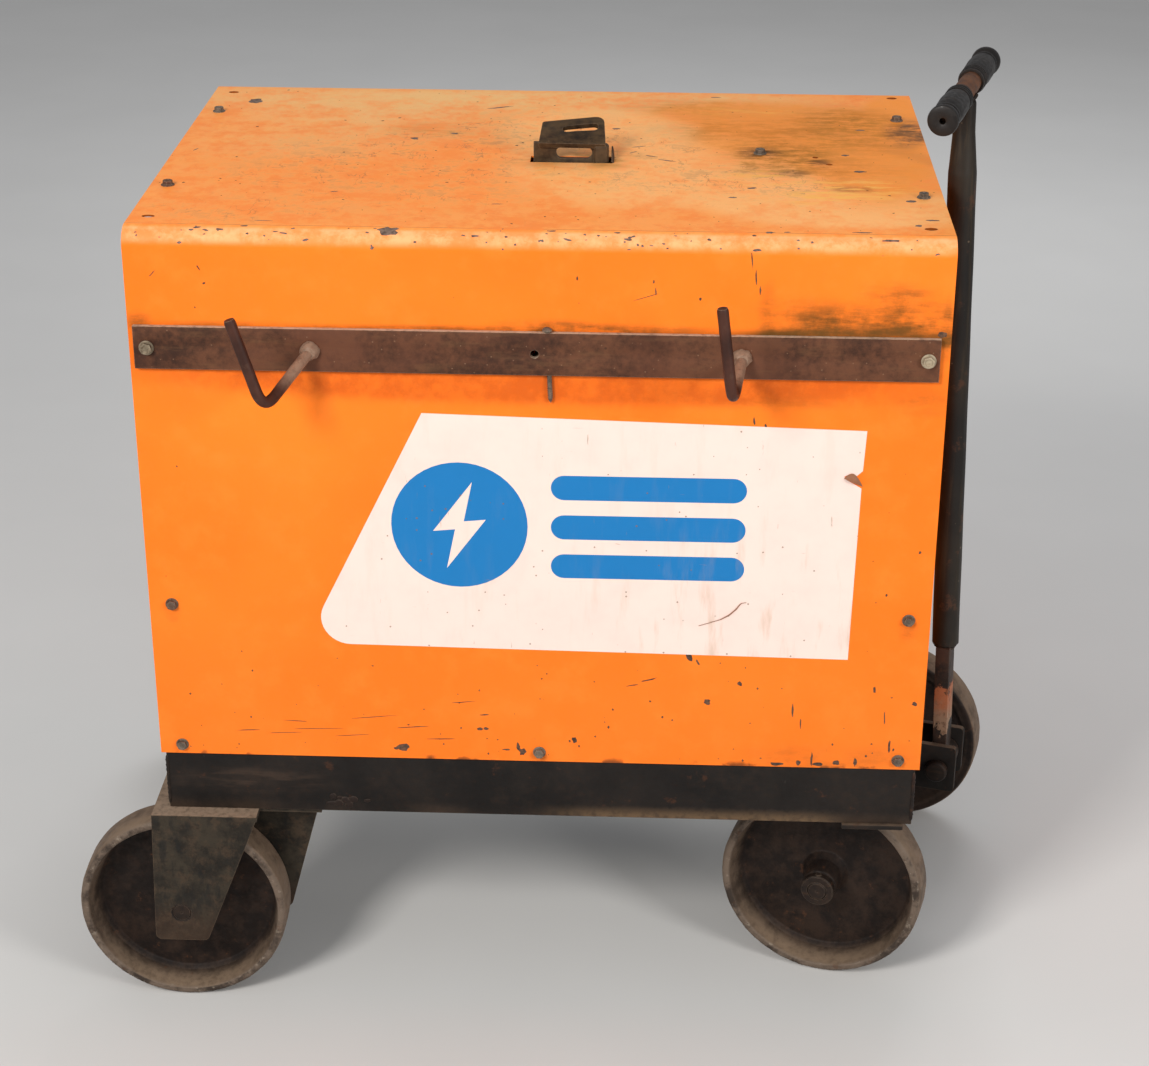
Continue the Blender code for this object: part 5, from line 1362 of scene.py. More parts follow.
def make_strap():
    """The flat bar across the near side, and the bolt head at each end."""
    mesh = bevelled(mesh_of(node_bmesh("hook_strap")), 0.0008, 3)
    add_mesh("hook_strap_bar", mesh, PATINA, "cart", ["hook_strap"])
    for side, turn in (("left", 0.25), ("right", 0.8)):
        centre = centre_of(f"strap_bolt_{side}")
        bm = bmesh.new()
        place = facing((centre.x, STRAP_LOW.y - 0.0003, centre.z), NEARWARD, turn)
        screw_head(bm, place, 0.0096, 0.0048, 0.0067, 0.0014)
        add_turned(bm, [(0.0, 0.0), (0.0030, 0.0), (0.0030, -0.0040), (0.0, -0.0044)], place, 24)
        stand_for(f"strap_bolt_{side}", f"strap_bolt_head_{side}", bm, BOLT_METAL, 28)


def make_hanging_screw():
    """The long thin screw stuck behind the strap, with its tip showing below it."""
    top, tip = on_case(369, -1.9, 434.6), on_case(372, -2.6, 367)
    head = on_case(369, -4.2, 435.2)
    threads = 38

    def thread(t):
        """The thread's swell, and the taper to the tip."""
        blunt = 0.35 if t > 0.985 else 1.0
        return blunt * (1 + 0.16 * sin(t * 2 * pi * threads)) * min(1.0, (1.02 - t) * 12)

    bm = tube_along(between(top, tip, 80), 0.0021, 10, thread)
    cap = [(0.0, 0.0030), (0.0026, 0.0026), (0.0043, 0.0010), (0.0043, 0.0), (0.0, 0.0)]
    add_turned(bm, cap, Matrix.Translation(head), 28)
    add_piece("loose_screw", bm, SCREW_METAL, "cart")


HOOK_ROOTS = {"left": 160.5, "right": 539.0}
HOOK_BENDS = {
    "left": ((-0.031, -0.070, -0.029), (-0.056, -0.070, 0.053)),
    "right": ((-0.009, -0.067, -0.016), (-0.020, -0.067, 0.0695)),
}


def hook_points(side):
    """The CAD hook's own line, rebuilt smooth: root, bend and tip."""
    height = (STRAP_LOW.z + STRAP_HIGH.z) / 2 - 0.0003
    start = Vector((LEFT + HOOK_ROOTS[side] / 1000, STRAP_LOW.y - 0.0003, height))
    bend, tip = HOOK_BENDS[side]
    line = [start + Vector((0, -0.0022, 0)), start + Vector(bend), start + Vector(tip)]
    return start, softened([tuple(p) for p in line], 0.0155, 14)


def make_hooks():
    """Two bent cable hooks, each with its weld collar on the strap."""
    for side in ("left", "right"):
        start, line = hook_points(side)
        points = resampled(line, 60)

        def swell(t):
            return min(1.0, 0.86 + 14 * (1 - t)) * (1 + 0.012 * sin(t * 47))

        bm = tube_along(points, 0.0050, 28, swell)
        rng = random.Random(side)
        lumps = [rng.uniform(-0.0008, 0.0009) for _ in range(17)]

        def wobble(angle, height):
            return lumps[int(angle / (2 * pi) * 16)] * max(0.0, 1 - height / 0.009)

        profile = [(0.0, 0.0), (0.0086, 0.0), (0.0086, 0.0012), (0.0080, 0.0032), (0.0071, 0.0048),
                   (0.0061, 0.0062), (0.0052, 0.0074), (0.0, 0.0076)]
        bm.from_mesh(mesh_of(lathe(profile, facing(start, NEARWARD), 32, False, wobble)))
        stand_for(f"cable_hook_{side}", f"hook_bar_{side}", bm, HOOK_STEEL, 50)


def make_eye():
    """The lifting eye, with the weld along its foot."""
    refined("lifting_eye", 0.0009, EYE_STEEL, 2, "lifting_eye_forged")
    y, z = EYE_LOW.y + 0.0105, TOP + 0.0148
    run = between((EYE_LOW.x + 0.007, y, z), (EYE_HIGH.x - 0.016, y, z), 3)
    weld("eye_weld", [run], 0.0016, "cart")


# ---------------------------------------------------------------- running gear


def make_base():
    """The base frame, its corner welds, and weld spatter over the fixed axle."""
    refined("base_frame", 0.0013, CHASSIS, 3, "base_frame_channels")
    low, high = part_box("base_frame")
    runs = []
    for x in (low.x + 0.0006, high.x - 0.0006):
        for y in (low.y + 0.0006, high.y - 0.0006):
            runs.append(between((x, y, low.z + 0.004), (x, y, high.z - 0.004), 3))
    weld("base_corner_welds", runs, 0.0018, "cart")
    smear = bmesh.new()
    rng = random.Random(8)
    for k in range(9):
        x = LEFT + (0.158 + 0.020 * rng.random()) + 0.004 * k * 0.6
        centre = Vector((x, low.y - 0.0001, low.z + 0.006 + 0.010 * rng.random()))
        blob = bmesh.ops.create_icosphere(smear, subdivisions=2, radius=1.0)
        size = Vector((rng.uniform(0.003, 0.007), 0.0009, rng.uniform(0.002, 0.0045)))
        bmesh.ops.scale(smear, vec=size, verts=blob["verts"])
        bmesh.ops.translate(smear, vec=centre, verts=blob["verts"])
    add_piece("base_weld_spatter", roughened(smear, 0.0004, 500), SOOTY_WELD, "cart", sharp=60)


def make_saddle():
    """The saddle with its legs, and the welds where each leg meets the plate."""
    refined("fixed_axle_saddle", 0.0009, LEG_PAINT, 2, "fixed_saddle_welded")
    low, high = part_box("fixed_axle_saddle")
    plate, leg = 0.0050, 0.0052
    z = high.z - plate - 0.0003
    runs = []
    tab_end = LEFT + 0.0900
    for y in (low.y + leg, high.y - leg):
        runs.append(between((low.x + 0.006, y, z), (tab_end - 0.006, y, z), 3))
    for y in (NEAR + 0.0518, FAR - 0.0518):
        runs.append(between((low.x + 0.010, y, z), (high.x - 0.008, y, z), 3))
    weld("saddle_welds", runs, 0.0021, "cart")


def make_steering():
    """The plate that turns on the kingpin, and the bolster welded below it."""
    refined("steer_top_plate", 0.0008, CHASSIS)
    refined("steer_bolster", 0.0009, CHASSIS, 2)
    plate_low = 0.1893
    runs = []
    for sign in (-1, 1):
        y = sign * 0.1180
        runs.append([STEER @ Vector((x, y, plate_low)) for x in (-0.036, 0.036)])
        for edge in (-1, 1):
            y = sign * 0.0220 + edge * 0.0034
            runs.append([STEER @ Vector((x, y, plate_low)) for x in (-0.030, 0.044)])
    weld("bolster_welds", runs, 0.0019, "steering")


WHEEL_R, WHEEL_HALF, RIM_WIDTH = 0.1015, 0.025, 0.038


def wheel_profile():
    """Down the tread and lips, across the shallow inboard dish, down the bore, up the outboard dish."""
    edge, inner = WHEEL_HALF, WHEEL_HALF - RIM_WIDTH
    hub_end = -edge - 0.0010
    rim = [(0.0938, edge), (0.0988, edge), (WHEEL_R - 0.0004, edge - 0.0030), (WHEEL_R, 0.012),
           (WHEEL_R, 0.000), (WHEEL_R - 0.0004, inner + 0.0030), (0.0985, inner)]
    inboard = [(0.0900, inner), (0.0866, -0.0102), (0.0790, -0.0097), (0.0235, -0.0095), (0.0200, hub_end)]
    bore = [(0.0104, hub_end), (0.0100, edge)]
    outboard = [(0.0165, edge), (0.0190, 0.006), (0.0236, -0.0030), (0.0700, -0.0036), (0.0845, -0.0034),
                (0.0882, 0.0015), (0.0928, edge - 0.0022)]
    return rim + inboard + bore + outboard


def make_wheels():
    """The four dished wheels, each turned about its own roll joint."""
    for node in ("fixed_wheel_near", "fixed_wheel_far", "steer_wheel_near", "steer_wheel_far"):
        joint = JOINTS[node + "_roll"]
        axle = Vector(joint["axis"]).normalized()
        outboard = -1 if node.endswith("near") else 1
        centre = Vector(joint["pos_m"])
        flat = [(p.x, p.y) for p in softened(wheel_profile(), 0.0032, 4, True)]
        bm = lathe(flat, facing(centre, axle * outboard), 128)
        roughened(bm, 0.00028, 130, outboard * centre.x)
        iron = wheel_iron(node + "_iron", centre, axle, outboard)
        stand_for(node, node + "_casting", bm, iron, 40)


def turned_bar(node, name, radius, axis, material):
    """A round bar in the place of a CAD rod, with chamfered ends, lathe lines and centre marks."""
    chamfer = 0.0012
    axis = Vector(axis).normalized()
    vertices = np.array([v.co for v in frame["nodes"][node].data.vertices])
    along = vertices @ np.array(axis)
    across = vertices - np.outer(along, np.array(axis))
    middle = Vector((across.max(0) + across.min(0)) / 2)
    middle -= axis * middle.dot(axis)
    low, high = float(along.min()), float(along.max())
    length = high - low
    rings = [(0.0, 0.0012), (0.0016, 0.0), (radius - chamfer, 0.0), (radius, chamfer)]
    count = 24
    straight = length - 2 * chamfer
    rings += [(radius * (1 - 0.004 * (k % 2)), chamfer + straight * k / count) for k in range(1, count)]
    rings += [(radius, length - chamfer), (radius - chamfer, length), (0.0016, length),
              (0.0, length - 0.0012)]
    bm = lathe(rings, facing(middle + axis * low, axis), 48, False)
    return stand_for(node, name, bm, material)


def make_axles():
    """Both axles, the collars on the steered one, and the welds on the fixed one."""
    steer_axis = PITCH["axis"]
    turned_bar("fixed_axle", "fixed_axle_bar", 0.0095, (0, 1, 0), AXLE_STEEL)
    turned_bar("steer_axle", "steer_axle_bar", 0.0095, steer_axis, AXLE_STEEL)
    for side in ("near", "far"):
        node = f"axle_collar_{side}"
        centre = centre_of(node)
        half = 0.00475
        profile = [(0.0099, -half), (0.0155, -half), (0.0165, -half + 0.001), (0.0165, half - 0.001),
                   (0.0155, half), (0.0099, half)]
        bm = lathe(profile, facing(centre, steer_axis), 56)
        pin = [(0.0, 0.0022), (0.0024, 0.0022), (0.0029, 0.0016), (0.0029, 0.0), (0.0, 0.0)]
        add_turned(bm, pin, facing(centre + Vector((0, 0, 0.0152)), UPWARD), 24)
        stand_for(node, node + "_turned", bm, AXLE_STEEL)
    low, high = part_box("fixed_axle")
    runs = []
    for y in (low.y + 0.0007, high.y - 0.0007):
        centre = Vector(((low.x + high.x) / 2, y, (low.z + high.z) / 2))
        runs.append([centre + Vector((0.0100 * cos(a), 0, 0.0100 * sin(a))) for a in around(24)])
    weld("fixed_axle_welds", runs, 0.0012, "cart")


def make_pins():
    """The kingpin with its nut, and the pin that the tongue tips on."""
    for node, width in (("kingpin", 0.0008), ("kingpin_nut", 0.0007)):
        refined(node, width, ZINC, 2)
    refined("tongue_pin", 0.0006, AXLE_STEEL, 2)


# ---------------------------------------------------------------- tongue


def curve_through(points, count):
    """A smooth line through (radius, height) points."""
    points = [Vector(p) for p in points]
    made = []
    for k in range(count):
        t = (len(points) - 1) * k / (count - 1)
        i = min(int(t), len(points) - 2)
        f = t - i
        before, a = points[max(i - 1, 0)], points[i]
        b, after = points[i + 1], points[min(i + 2, len(points) - 1)]
        made.append(0.5 * (2 * a + (b - before) * f + (2 * before - 5 * a + 4 * b - after) * f * f
                           + (3 * a - before - 3 * b + after) * f * f * f))
    return [(p.x, p.y) for p in made]


LENGTH = 0.7035
TUBE_R = 0.01335
TUBE_FOOT = 0.134
NECK_R = 0.0098
CROSSBAR_R = 0.0098


def make_tongue():
    """The tongue: forked foot, pipe with its swaged neck, handlebar, welds and grips."""
    refined("tongue_foot", 0.0012, FOOT_STEEL, 3)
    shoulder = LENGTH - 0.082
    top = LENGTH - CROSSBAR_R - 0.0003
    straight = shoulder - 0.030
    neck = curve_through([(NECK_R, top - 0.002), (NECK_R, LENGTH - 0.036), (NECK_R + 0.0006, LENGTH - 0.046),
                          (TUBE_R - 0.0007, shoulder + 0.010), (TUBE_R, shoulder), (TUBE_R, straight)], 26)
    body = [(TUBE_R, straight - (straight - TUBE_FOOT) * k / 30) for k in range(1, 30)]
    bore_end = TUBE_FOOT + 0.058
    foot = [(TUBE_R, TUBE_FOOT + 0.001), (TUBE_R - 0.001, TUBE_FOOT), (0.0106, TUBE_FOOT), (0.0105, bore_end),
            (0.0, bore_end)]
    profile = [(0.0, top), (NECK_R - 0.0006, top)] + neck + body + foot

    def flattened(angle, height):
        """The swaged top is squeezed a little across the crossbar."""
        share = max(0.0, min(1.0, (height - shoulder) / 0.06))
        return 0.0009 * share * cos(2 * angle) + 0.00012 * sin(3 * angle + height * 60)

    bm = lathe(profile, TONGUE, 64, False, flattened)
    stand_for("tongue_tube", "tongue_pipe", bm, TUBE, 40)
    cross = TONGUE @ Matrix.Translation((0, 0, LENGTH)) @ Matrix.Rotation(-pi / 2, 4, "X")
    half = 0.1050
    rings = [(0.0, -half), (CROSSBAR_R - 0.001, -half), (CROSSBAR_R, -half + 0.001)]
    rings += [(CROSSBAR_R + 0.00015 * sin(k * 1.7), -half + 2 * half * k / 40) for k in range(1, 40)]
    rings += [(CROSSBAR_R, half - 0.001), (CROSSBAR_R - 0.001, half), (0.0, half)]
    bar = lathe(rings, cross, 48, False)
    stand_for("tongue_crossbar", "tongue_handlebar", bar, BAR_RUST)
    run = []
    for a in around(36):
        height = LENGTH - CROSSBAR_R * 0.97 + 0.0045 * cos(a) ** 2
        run.append(TONGUE @ Vector((0.0103 * cos(a), 0.0103 * sin(a), height)))
    weld("handlebar_weld", [run], 0.0022, "tongue")
    ring = [TONGUE @ Vector((0.0108 * cos(a), 0.0108 * sin(a), TUBE_FOOT - 0.0006)) for a in around(36)]
    weld("pipe_foot_weld", [ring], 0.0018, "tongue")
    for side, sign in (("near", -1), ("far", 1)):
        make_grip(side, TONGUE @ Matrix.Translation((0, 0, LENGTH)) @ Matrix.Rotation(-sign * pi / 2, 4, "X"))


def make_grip(side, place):
    """A moulded grip on the bar's end: rounded end collar, neck, ringed swell and a thin inner cuff."""
    end = 0.117
    inner = CROSSBAR_R + 0.0003
    flange = [(0.0030, end - 0.0006), (0.0046, end), (0.0118, end), (0.0134, end - 0.0007),
              (0.0140, end - 0.0028), (0.0140, end - 0.0062), (0.0134, end - 0.0088), (0.0124, end - 0.0102)]
    neck = [(0.0117, end - 0.0118), (0.0116, end - 0.0150), (0.0124, end - 0.0164), (0.0125, end - 0.0182),
            (0.0118, end - 0.0196), (0.0119, end - 0.0212)]
    swell = curve_through([(0.0126, end - 0.0240), (0.0133, end - 0.0320), (0.0137, end - 0.0430),
                           (0.0136, end - 0.0500), (0.0130, end - 0.0620), (0.0123, end - 0.0690)], 34)
    rings = []
    for k in range(3):
        low = end - 0.0708 - 0.0046 * k
        rings += [(0.0119, low), (0.0129, low - 0.0012), (0.0130, low - 0.0026), (0.0121, low - 0.0038)]
    cuff = [(0.0119, end - 0.0850), (0.0124, end - 0.0862), (0.0121, end - 0.0878)]
    hollow = [(inner, end - 0.0878), (inner, end - 0.0112), (0.0030, end - 0.0112)]

    def ribs(angle, height):
        """Shallow flutes where the hand closes on the swell."""
        share = max(0.0, 1 - abs(height - (end - 0.045)) / 0.022)
        return -0.00045 * share * (0.5 + 0.5 * cos(12 * angle))

    bm = lathe(flange + neck + swell + rings + cuff + hollow, place, 84, True, ribs)
    stand_for(f"grip_{side}", f"moulded_grip_{side}", bm, GRIP, 50)


# ---------------------------------------------------------------- end panels


# How far fittings stand off the panels, and the print on the front one.
SEAT, PRINT = 0.0003, 0.0002


def dial(name, node, big_marks):
    """A meter's dial card with its arc of marks, seen through the glass."""
    centre = centre_of(node)
    y, z = centre.y, centre.z
    card_x = PANEL_X + 0.0050
    card = [(0.0, 0.0), (0.0317, 0.0), (0.0317, 0.0008), (0.0, 0.0008)]
    bm = lathe(card, facing((card_x, y, z), FRONTWARD), 56, False)
    add_piece(f"{name}_card", bm, DIAL, "cart")
    pivot_z = z - 0.012
    marks = bmesh.new()
    face = card_x - 0.0011
    total = big_marks * 5
    for k in range(total + 1):
        angle = radians(135 - 90 * k / total)
        inner, outer = (0.0265, 0.0310) if k % 5 == 0 else (0.0285, 0.0310)
        width = 0.00045 if k % 5 == 0 else 0.00025
        add_mark(marks, face, y, pivot_z, angle, inner, outer, width)
    arc = [(face, y - u, pivot_z + v) for u, v in disc_outline((0, 0), 0.0262, 135, 45, 30)]
    tube_along(arc, 0.0002, 6, None, marks)
    add_piece(f"{name}_marks", marks, INK, "cart")
    place = facing((PANEL_X - SEAT, y, z), FRONTWARD)
    rim = [(0.0418, 0.0), (0.0418, 0.0088), (0.0398, 0.0116), (0.0356, 0.0116), (0.0350, 0.0086),
           (0.0350, 0.0)]
    bezel = lathe(softened_ring(rim), place, 96)
    can = [(0.0, -0.0398), (0.0335, -0.0398), (0.0341, -0.0390), (0.0341, 0.0003), (0.0322, 0.0003),
           (0.0322, -0.0060), (0.0, -0.0060)]
    add_turned(bezel, can, place, 72)
    stand_for(node, f"{name}_housing", bezel, PLASTIC)


def softened_ring(points, radius=0.0008):
    """A closed profile with its corners rounded."""
    return [(p.x, p.y) for p in softened(points, radius, 3, True)]


def add_mark(bm, x, y, z, angle, inner, outer, half):
    """A thin radial bar on a panel. The angle is measured from the viewer's right, anticlockwise."""
    out = Vector((0, -cos(angle), sin(angle)))
    side = Vector((0, sin(angle), cos(angle)))
    at = Vector((x, y, z))
    corners = []
    for depth in (0.0, 0.00025):
        for reach, sign in ((inner, -1), (outer, -1), (outer, 1), (inner, 1)):
            corners.append(bm.verts.new(at + out * reach + side * half * sign - Vector((depth, 0, 0))))
    bm.faces.new(corners[:4])
    bm.faces.new(corners[4:])
    for k in range(4):
        bm.faces.new((corners[k], corners[(k + 1) % 4], corners[4 + (k + 1) % 4], corners[4 + k]))


# Where the marks and screws of the front panel stand.
PLUS_Y, MINUS_Y = 0.0829, -0.0171
RULES_Z, RULE_GAP, RULE_INSET = (0.7150, 0.4700), 0.003, 0.030
METERS_Y, METERS_Z, METER_SCREWS_R = (0.1314, -0.0686), 0.6935, 0.0475


def edge_screws(rng, x, outward):
    """The screws down both edges of an end panel."""
    bm = bmesh.new()
    for y in (NEAR + 0.022, FAR - 0.022):
        for z in (CASE_LOW.z + 0.030, CASE_LOW.z + 0.250, TOP - 0.035):
            screw_head(bm, facing((x, y, z), outward, rng.uniform(0, 1)), 0.0070, 0.0038, 0.0052)
    return bm


def make_front():
    """Control panel: dials, scale marks, terminal markings, panel screws, knob, switch, lamp and studs."""
    refined("front_panel", 0.0004, PANEL, 1)
    dial("voltmeter", "voltmeter_case", 5)
    dial("ammeter", "ammeter_case", 6)
    for node in ("voltmeter_glass", "ammeter_glass"):
        profile = [(0.0, -0.0011), (0.0340, -0.0011), (0.0346, -0.0006), (0.0346, 0.0004), (0.0330, 0.0010),
                   (0.0, 0.0013)]
        pane = lathe(profile, facing(centre_of(node), FRONTWARD), 72, False)
        stand_for(node, node + "_pane", pane, GLASS)
    for node in ("voltmeter_pointer", "ammeter_pointer"):
        refined(node, 0.0002, POINTER_RED, 1)
    knob = centre_of("voltage_knob")
    print_x = PANEL_X - PRINT
    marks = bmesh.new()
    for k in range(11):
        angle = radians(225 - 27 * k)
        outer = 0.0345 if k % 5 == 0 else 0.0325
        add_mark(marks, print_x, knob.y, knob.z, angle, 0.0290, outer, 0.0005)
    sign_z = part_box("output_terminal_board")[1].z - 0.004
    for sign_y, bars in ((PLUS_Y, (0, 90)), (MINUS_Y, (0,))):
        for angle in bars:
            add_mark(marks, print_x, sign_y, sign_z, radians(angle), -0.0060, 0.0060, 0.0011)
    for rule_z in RULES_Z:
        for z in (rule_z, rule_z + RULE_GAP):
            x = PANEL_X - SEAT
            line = between((x, NEAR + RULE_INSET, z), (x, FAR - RULE_INSET, z), 3)
            tube_along(line, 0.00045, 6, None, marks)
    add_piece("panel_markings", marks, MARK_WHITE, "cart")
    make_knob(knob.y, knob.z)
    rng = random.Random(6)
    screws = edge_screws(rng, PANEL_X, FRONTWARD)
    for meter_y in METERS_Y:
        for angle in (45, 135, 225, 315):
            y = meter_y + METER_SCREWS_R * cos(radians(angle))
            z = METERS_Z + METER_SCREWS_R * sin(radians(angle))
            place = facing((PANEL_X - 0.0001, y, z), FRONTWARD, rng.uniform(0, 1))
            pan_head(screws, place, 0.0030, 0.0020)
    add_piece("panel_screws", screws, ZINC, "cart", sharp=28)
    refined("power_switch_body", 0.0006, PLASTIC, 2)
    refined("power_switch_lever", 0.0009, ZINC, 3)
    refined("output_terminal_board", 0.0006, BOARD, 2)
    for node in ("output_stud_negative", "output_stud_positive"):
        make_stud(node)
    make_lamp()
    make_receptacle()


def pan_head(bm, place, radius, height):
    """A small round screw head with a round recess in its middle."""
    profile = [(0.0, height * 0.55), (radius * 0.30, height * 0.95), (radius * 0.6, height),
               (radius * 0.92, height * 0.6), (radius, 0.0), (0.0, 0.0)]
    add_turned(bm, profile, place, 24)


def make_knob(y, z):
    """A skirted knob with finger flutes and a raised pointer line."""
    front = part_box("voltage_knob")[0].x
    place = facing((PANEL_X - 0.0001, y, z), FRONTWARD)
    depth = PANEL_X - front

    def flutes(angle, height):
        return -0.0011 * max(0.0, cos(9 * angle)) ** 2 if 0.006 < height < depth - 0.0045 else 0.0

    profile = [(0.0, -0.0195), (0.0050, -0.0195), (0.0050, 0.0010), (0.0238, 0.0010), (0.0243, 0.0022),
               (0.0243, 0.0048), (0.0232, 0.0062), (0.0222, 0.0070)]
    profile += [(0.0222 - 0.0016 * k / 8, 0.0070 + (depth - 0.0115) * k / 8) for k in range(1, 9)]
    profile += [(0.0196, depth - 0.0034), (0.0178, depth - 0.0026), (0.0120, depth - 0.0026),
                (0.0112, depth - 0.0031), (0.0, depth - 0.0031)]
    bm = lathe(profile, place, 144, False, flutes)
    stand_for("voltage_knob", "voltage_knob_moulded", bm, PLASTIC, 40)
    line = bmesh.new()
    add_mark(line, front + 0.0027, y, z, radians(90), 0.0060, 0.0188, 0.0009)
    add_piece("voltage_knob_line", line, MARK_WHITE, "knob")


def make_stud(node):
    """A threaded brass stud with its washer and hexagon nut."""
    low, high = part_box(node)
    centre = centre_of(node)
    length = high.x - low.x
    place = facing((high.x, centre.y, centre.z), FRONTWARD)
    rings = [(0.0, 0.0), (0.0056, 0.0), (0.0061, 0.0008)]
    count = 70
    rings += [(0.0062 - 0.0005 * (k % 2), 0.0008 + (length - 0.0024) * k / count) for k in range(1, count)]
    rings += [(0.0052, length), (0.0, length)]
    bm = lathe(rings, place, 28, False)
    nut_at = high.x - (PANEL_X - 0.0035) - 0.00475
    low_face, high_face = nut_at - 0.0024, nut_at - 0.0006
    washer = [(0.0062, low_face), (0.0139, low_face), (0.0139, high_face), (0.0062, high_face)]
    add_turned(bm, washer, place, 48, True)
    nut = bmesh.new()
    screw_head(nut, place @ Matrix.Translation((0, 0, nut_at - 0.0004)), 0.0186, 0.0096, 0.0102, 0.0006)
    bm.from_mesh(mesh_of(nut))
    stand_for(node, node + "_threaded", bm, BRASS, 30)


def on_panel(node):
    """A matrix on the front panel at the node's centre, whose local Z runs out of it."""
    centre = centre_of(node)
    return facing((PANEL_X - SEAT, centre.y, centre.z), FRONTWARD)


def make_lamp():
    """A ribbed amber lens in a turned ring."""
    place = on_panel("pilot_lamp")
    dome = [(0.0070 * cos(radians(a)), 0.0075 + 0.0060 * sin(radians(a))) for a in range(10, 90, 10)]
    profile = [(0.0, -0.0198), (0.0068, -0.0198), (0.0068, 0.0), (0.0070, 0.0030), (0.0070, 0.0075)]
    profile += dome + [(0.0, 0.0135)]

    def facets(angle, height):
        return 0.00028 * cos(18 * angle) if 0.003 < height < 0.009 else 0.0

    lens = lathe(profile, place, 108, False, facets)
    stand_for("pilot_lamp", "pilot_lamp_lens", lens, LAMP)
    ring = [(0.0072, 0.0), (0.0105, 0.0), (0.0105, 0.0026), (0.0090, 0.0036), (0.0074, 0.0036)]
    add_piece("pilot_lamp_ring", lathe(softened_ring(ring, 0.0005), place, 64), ZINC, "cart")


def make_receptacle():
    """The remote-control socket: a flanged and threaded shell, its insert, and ten contacts."""
    place = on_panel("control_receptacle")
    profile = [(0.0, -0.0218), (0.0138, -0.0218), (0.0138, 0.0), (0.0198, 0.0), (0.0198, 0.0024),
               (0.0152, 0.0030)]
    profile += [(0.0149 - 0.0005 * (k % 2), 0.0030 + 0.0108 * k / 14) for k in range(1, 14)]
    profile += [(0.0144, 0.0139), (0.0131, 0.0139), (0.0131, 0.0112), (0.0, 0.0112)]
    shell = lathe(profile, place, 64, False)
    stand_for("control_receptacle", "receptacle_shell", shell, ZINC)
    insert = [(0.0, 0.0118), (0.0122, 0.0118), (0.0126, 0.0114), (0.0126, 0.0110), (0.0, 0.0110)]
    add_piece("receptacle_insert", lathe(insert, place, 56, False), PLASTIC, "cart")
    pins = bmesh.new()
    pin = [(0.0, 0.0003), (0.0009, 0.0004), (0.0013, 0.0004), (0.0014, 0.0), (0.0, 0.0)]
    for radius, count in ((0.0080, 7), (0.0034, 3)):
        for k in range(count):
            angle = 2 * pi * k / count + 0.3
            spot = place @ Matrix.Translation((radius * cos(angle), radius * sin(angle), 0.0117))
            add_turned(pins, pin, spot, 16)
    add_piece("receptacle_contacts", pins, BRASS, "cart")


def make_rear():
    """Air outlet: louvre hoods over the slots, screws, and the ribbed supply gland."""
    refined("rear_panel", 0.0004, ENAMEL, 1)
    hoods = bmesh.new()
    fan_z = JOINTS["fan_spin"]["pos_m"][2]
    for row in range(9):
        z = fan_z + 0.022 * (row - 4)
        lines = []
        for k in range(7):
            a = radians(90 * k / 6)
            lines.append((REAR_X + 0.0048 * sin(a), z + 0.0048 - 0.0085 * (1 - cos(a)) * 0.62))
        columns = []
        for t in (0.0, 0.012, 0.03, 0.06, 0.5, 0.94, 0.97, 0.988, 1.0):
            close = min(1.0, min(t, 1 - t) / 0.03)
            y = MID_Y - 0.108 + 0.216 * t
            line = [(REAR_X + (x - REAR_X) * close ** 0.6, y, height) for x, height in lines]
            columns.append([hoods.verts.new(point) for point in line])
        join_rows(hoods, columns)
    bmesh.ops.remove_doubles(hoods, verts=hoods.verts, dist=0.00002)
    add_mesh("rear_louvre_hoods", settled(thickened(mesh_of(hoods), 0.0010, 0)), ENAMEL, "cart")
    screws = edge_screws(random.Random(7), REAR_X, REARWARD)
    add_piece("rear_screws", screws, SCREW_METAL, "cart", sharp=28)
    gland = centre_of("supply_gland")
    place = facing((REAR_X + SEAT, gland.y, gland.z), REARWARD)

    def grips(angle, height):
        return -0.0009 * max(0.0, cos(12 * angle)) if 0.0072 < height < 0.0150 else 0.0

    profile = [(0.0086, -0.0118), (0.0119, -0.0118), (0.0119, 0.0), (0.0174, 0.0), (0.0174, 0.0056),
               (0.0160, 0.0064), (0.0160, 0.0080), (0.0160, 0.0110), (0.0160, 0.0145), (0.0156, 0.0156),
               (0.0130, 0.0196), (0.0108, 0.0199), (0.0088, 0.0196), (0.0086, 0.0180)]
    nut = lathe(profile, place, 96, True, grips)
    stand_for("supply_gland", "supply_gland_nut", nut, PLASTIC)


# ---------------------------------------------------------------- inside


def make_inside():
    """The parts behind the panels, with their edges broken by these widths."""
    for node, width, material in (
        ("transformer_core", 0.0008, CORE), ("choke_core", 0.0008, CORE),
        ("control_transformer", 0.0010, CORE), ("contactor_body", 0.0008, PLASTIC),
        ("contactor_armature", 0.0006, CORE),
        ("rectifier_heatsink", 0.0005, ALUMINIUM), ("fan_shroud", 0.0006, CHASSIS),
        ("lifting_frame", 0.0012, CHASSIS), ("floor_pan", 0.0006, CHASSIS), ("coil_left", 0.0010, COPPER),
        ("coil_middle", 0.0010, COPPER), ("coil_right", 0.0010, COPPER), ("choke_coil", 0.0010, COPPER),
        ("voltage_rheostat", 0.0008, BOARD), ("fan_motor", 0.0008, PLASTIC), ("fan_blade", 0.0004, ALUMINIUM),
    ):
        refined(node, width, material, 2)


# ---------------------------------------------------------------- stage


SKY, SKY_STRENGTH = (0.80, 0.81, 0.83, 1.0), 0.46
FLOOR_HALF = 9.0
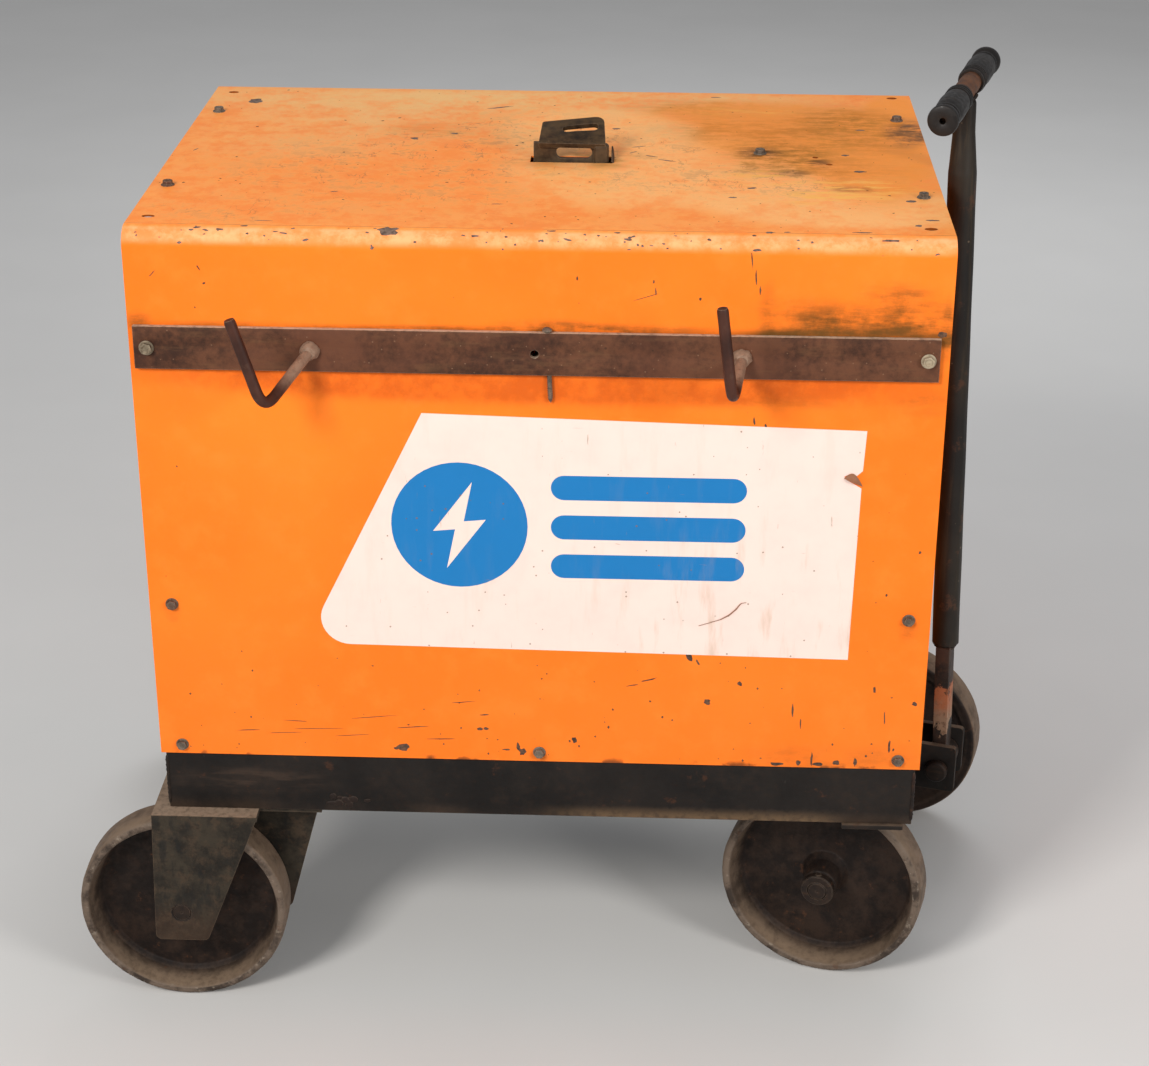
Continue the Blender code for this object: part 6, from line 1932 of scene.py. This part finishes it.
# Each light's place and aim in metres, size in metres, power in watts and colour.
LIGHTS = (
    ("key_light", (-1.5, -2.6, 2.4), (0.0, 0.0, 0.45), 0.85, 90.0, (1.0, 0.97, 0.93)),
    ("fill_light", (2.3, -2.3, 1.7), (0.0, 0.0, 0.45), 0.95, 50.0, (1.0, 0.98, 0.95)),
    ("back_light", (0.6, 2.6, 2.5), (0.0, 0.0, 0.55), 1.5, 32.0, (0.96, 0.98, 1.0)),
)


def make_stage():
    """A pale floor, an even sky and three soft lights. The back light makes no highlights."""
    bm = bmesh.new()
    bmesh.ops.create_grid(bm, x_segments=2, y_segments=2, size=FLOOR_HALF)
    mesh = mesh_of(bm)
    n = Nodes("studio_floor")
    tone = n.noise(3.0, 3.0)
    n.colour = n.mix(tone, (0.60, 0.595, 0.585), (0.66, 0.655, 0.645))
    mesh.materials.append(n.finish(0.75))
    floor = bpy.data.objects.new("studio_floor", mesh)
    bpy.context.scene.collection.objects.link(floor)
    world = bpy.data.worlds.new("studio")
    world.use_nodes = True
    background = world.node_tree.nodes["Background"]
    background.inputs[0].default_value = SKY
    background.inputs[1].default_value = SKY_STRENGTH
    bpy.context.scene.world = world
    for name, place, target, size, power, colour in LIGHTS:
        lamp = bpy.data.lights.new(name, "AREA")
        lamp.size = size
        lamp.energy = power
        lamp.color = colour
        ob = bpy.data.objects.new(name, lamp)
        ob.location = place
        ob.rotation_euler = (Vector(target) - Vector(place)).to_track_quat("-Z", "Y").to_euler()
        ob.visible_glossy = name != "back_light"
        bpy.context.scene.collection.objects.link(ob)
    bpy.context.scene.view_settings.view_transform = "Standard"


# The camera's place, its directions and its lens, found from the photograph.
CAMERA_AT = (0.09805, -2.1793, 1.4260)
CAMERA_RIGHT = (0.99919, 0.03997, 0.00358)
CAMERA_FORWARD = (-0.03473, 0.90601, -0.42183)
LENS, SENSOR = 74.86, 36.0


def make_camera():
    """The photograph's viewpoint, with its right, up and backward directions as the camera's axes."""
    right = Vector(CAMERA_RIGHT).normalized()
    forward = Vector(CAMERA_FORWARD).normalized()
    up = right.cross(forward)
    data = bpy.data.cameras.new("camera")
    data.lens = LENS
    data.sensor_width = SENSOR
    camera = bpy.data.objects.new("camera", data)
    turn = Matrix((right, up, -forward)).transposed()
    camera.matrix_world = Matrix.Translation(CAMERA_AT) @ turn.to_4x4()
    bpy.context.scene.collection.objects.link(camera)
    bpy.context.scene.camera = camera


def finish_carried_nodes():
    """Every CAD node gets its finish, whether it shows or a finer piece stands for it."""
    for node, ob in frame["nodes"].items():
        ob.data.materials.clear()
        ob.data.materials.append(NODE_FINISH[SLOT_OF[node]])
        if node not in SHOWN_BY:
            ob.data.shade_smooth()
            ob.data.set_sharp_from_angle(angle=radians(35))


for make in (
    make_case, make_eye_opening, make_chips, make_case_screws, make_decals, make_decal_tear, make_strap,
    make_hanging_screw, make_hooks, make_eye, make_base, make_saddle, make_steering, make_wheels,
    make_axles, make_pins, make_tongue, make_front, make_rear, make_inside, finish_carried_nodes,
    make_stage, make_camera,
):
    make()
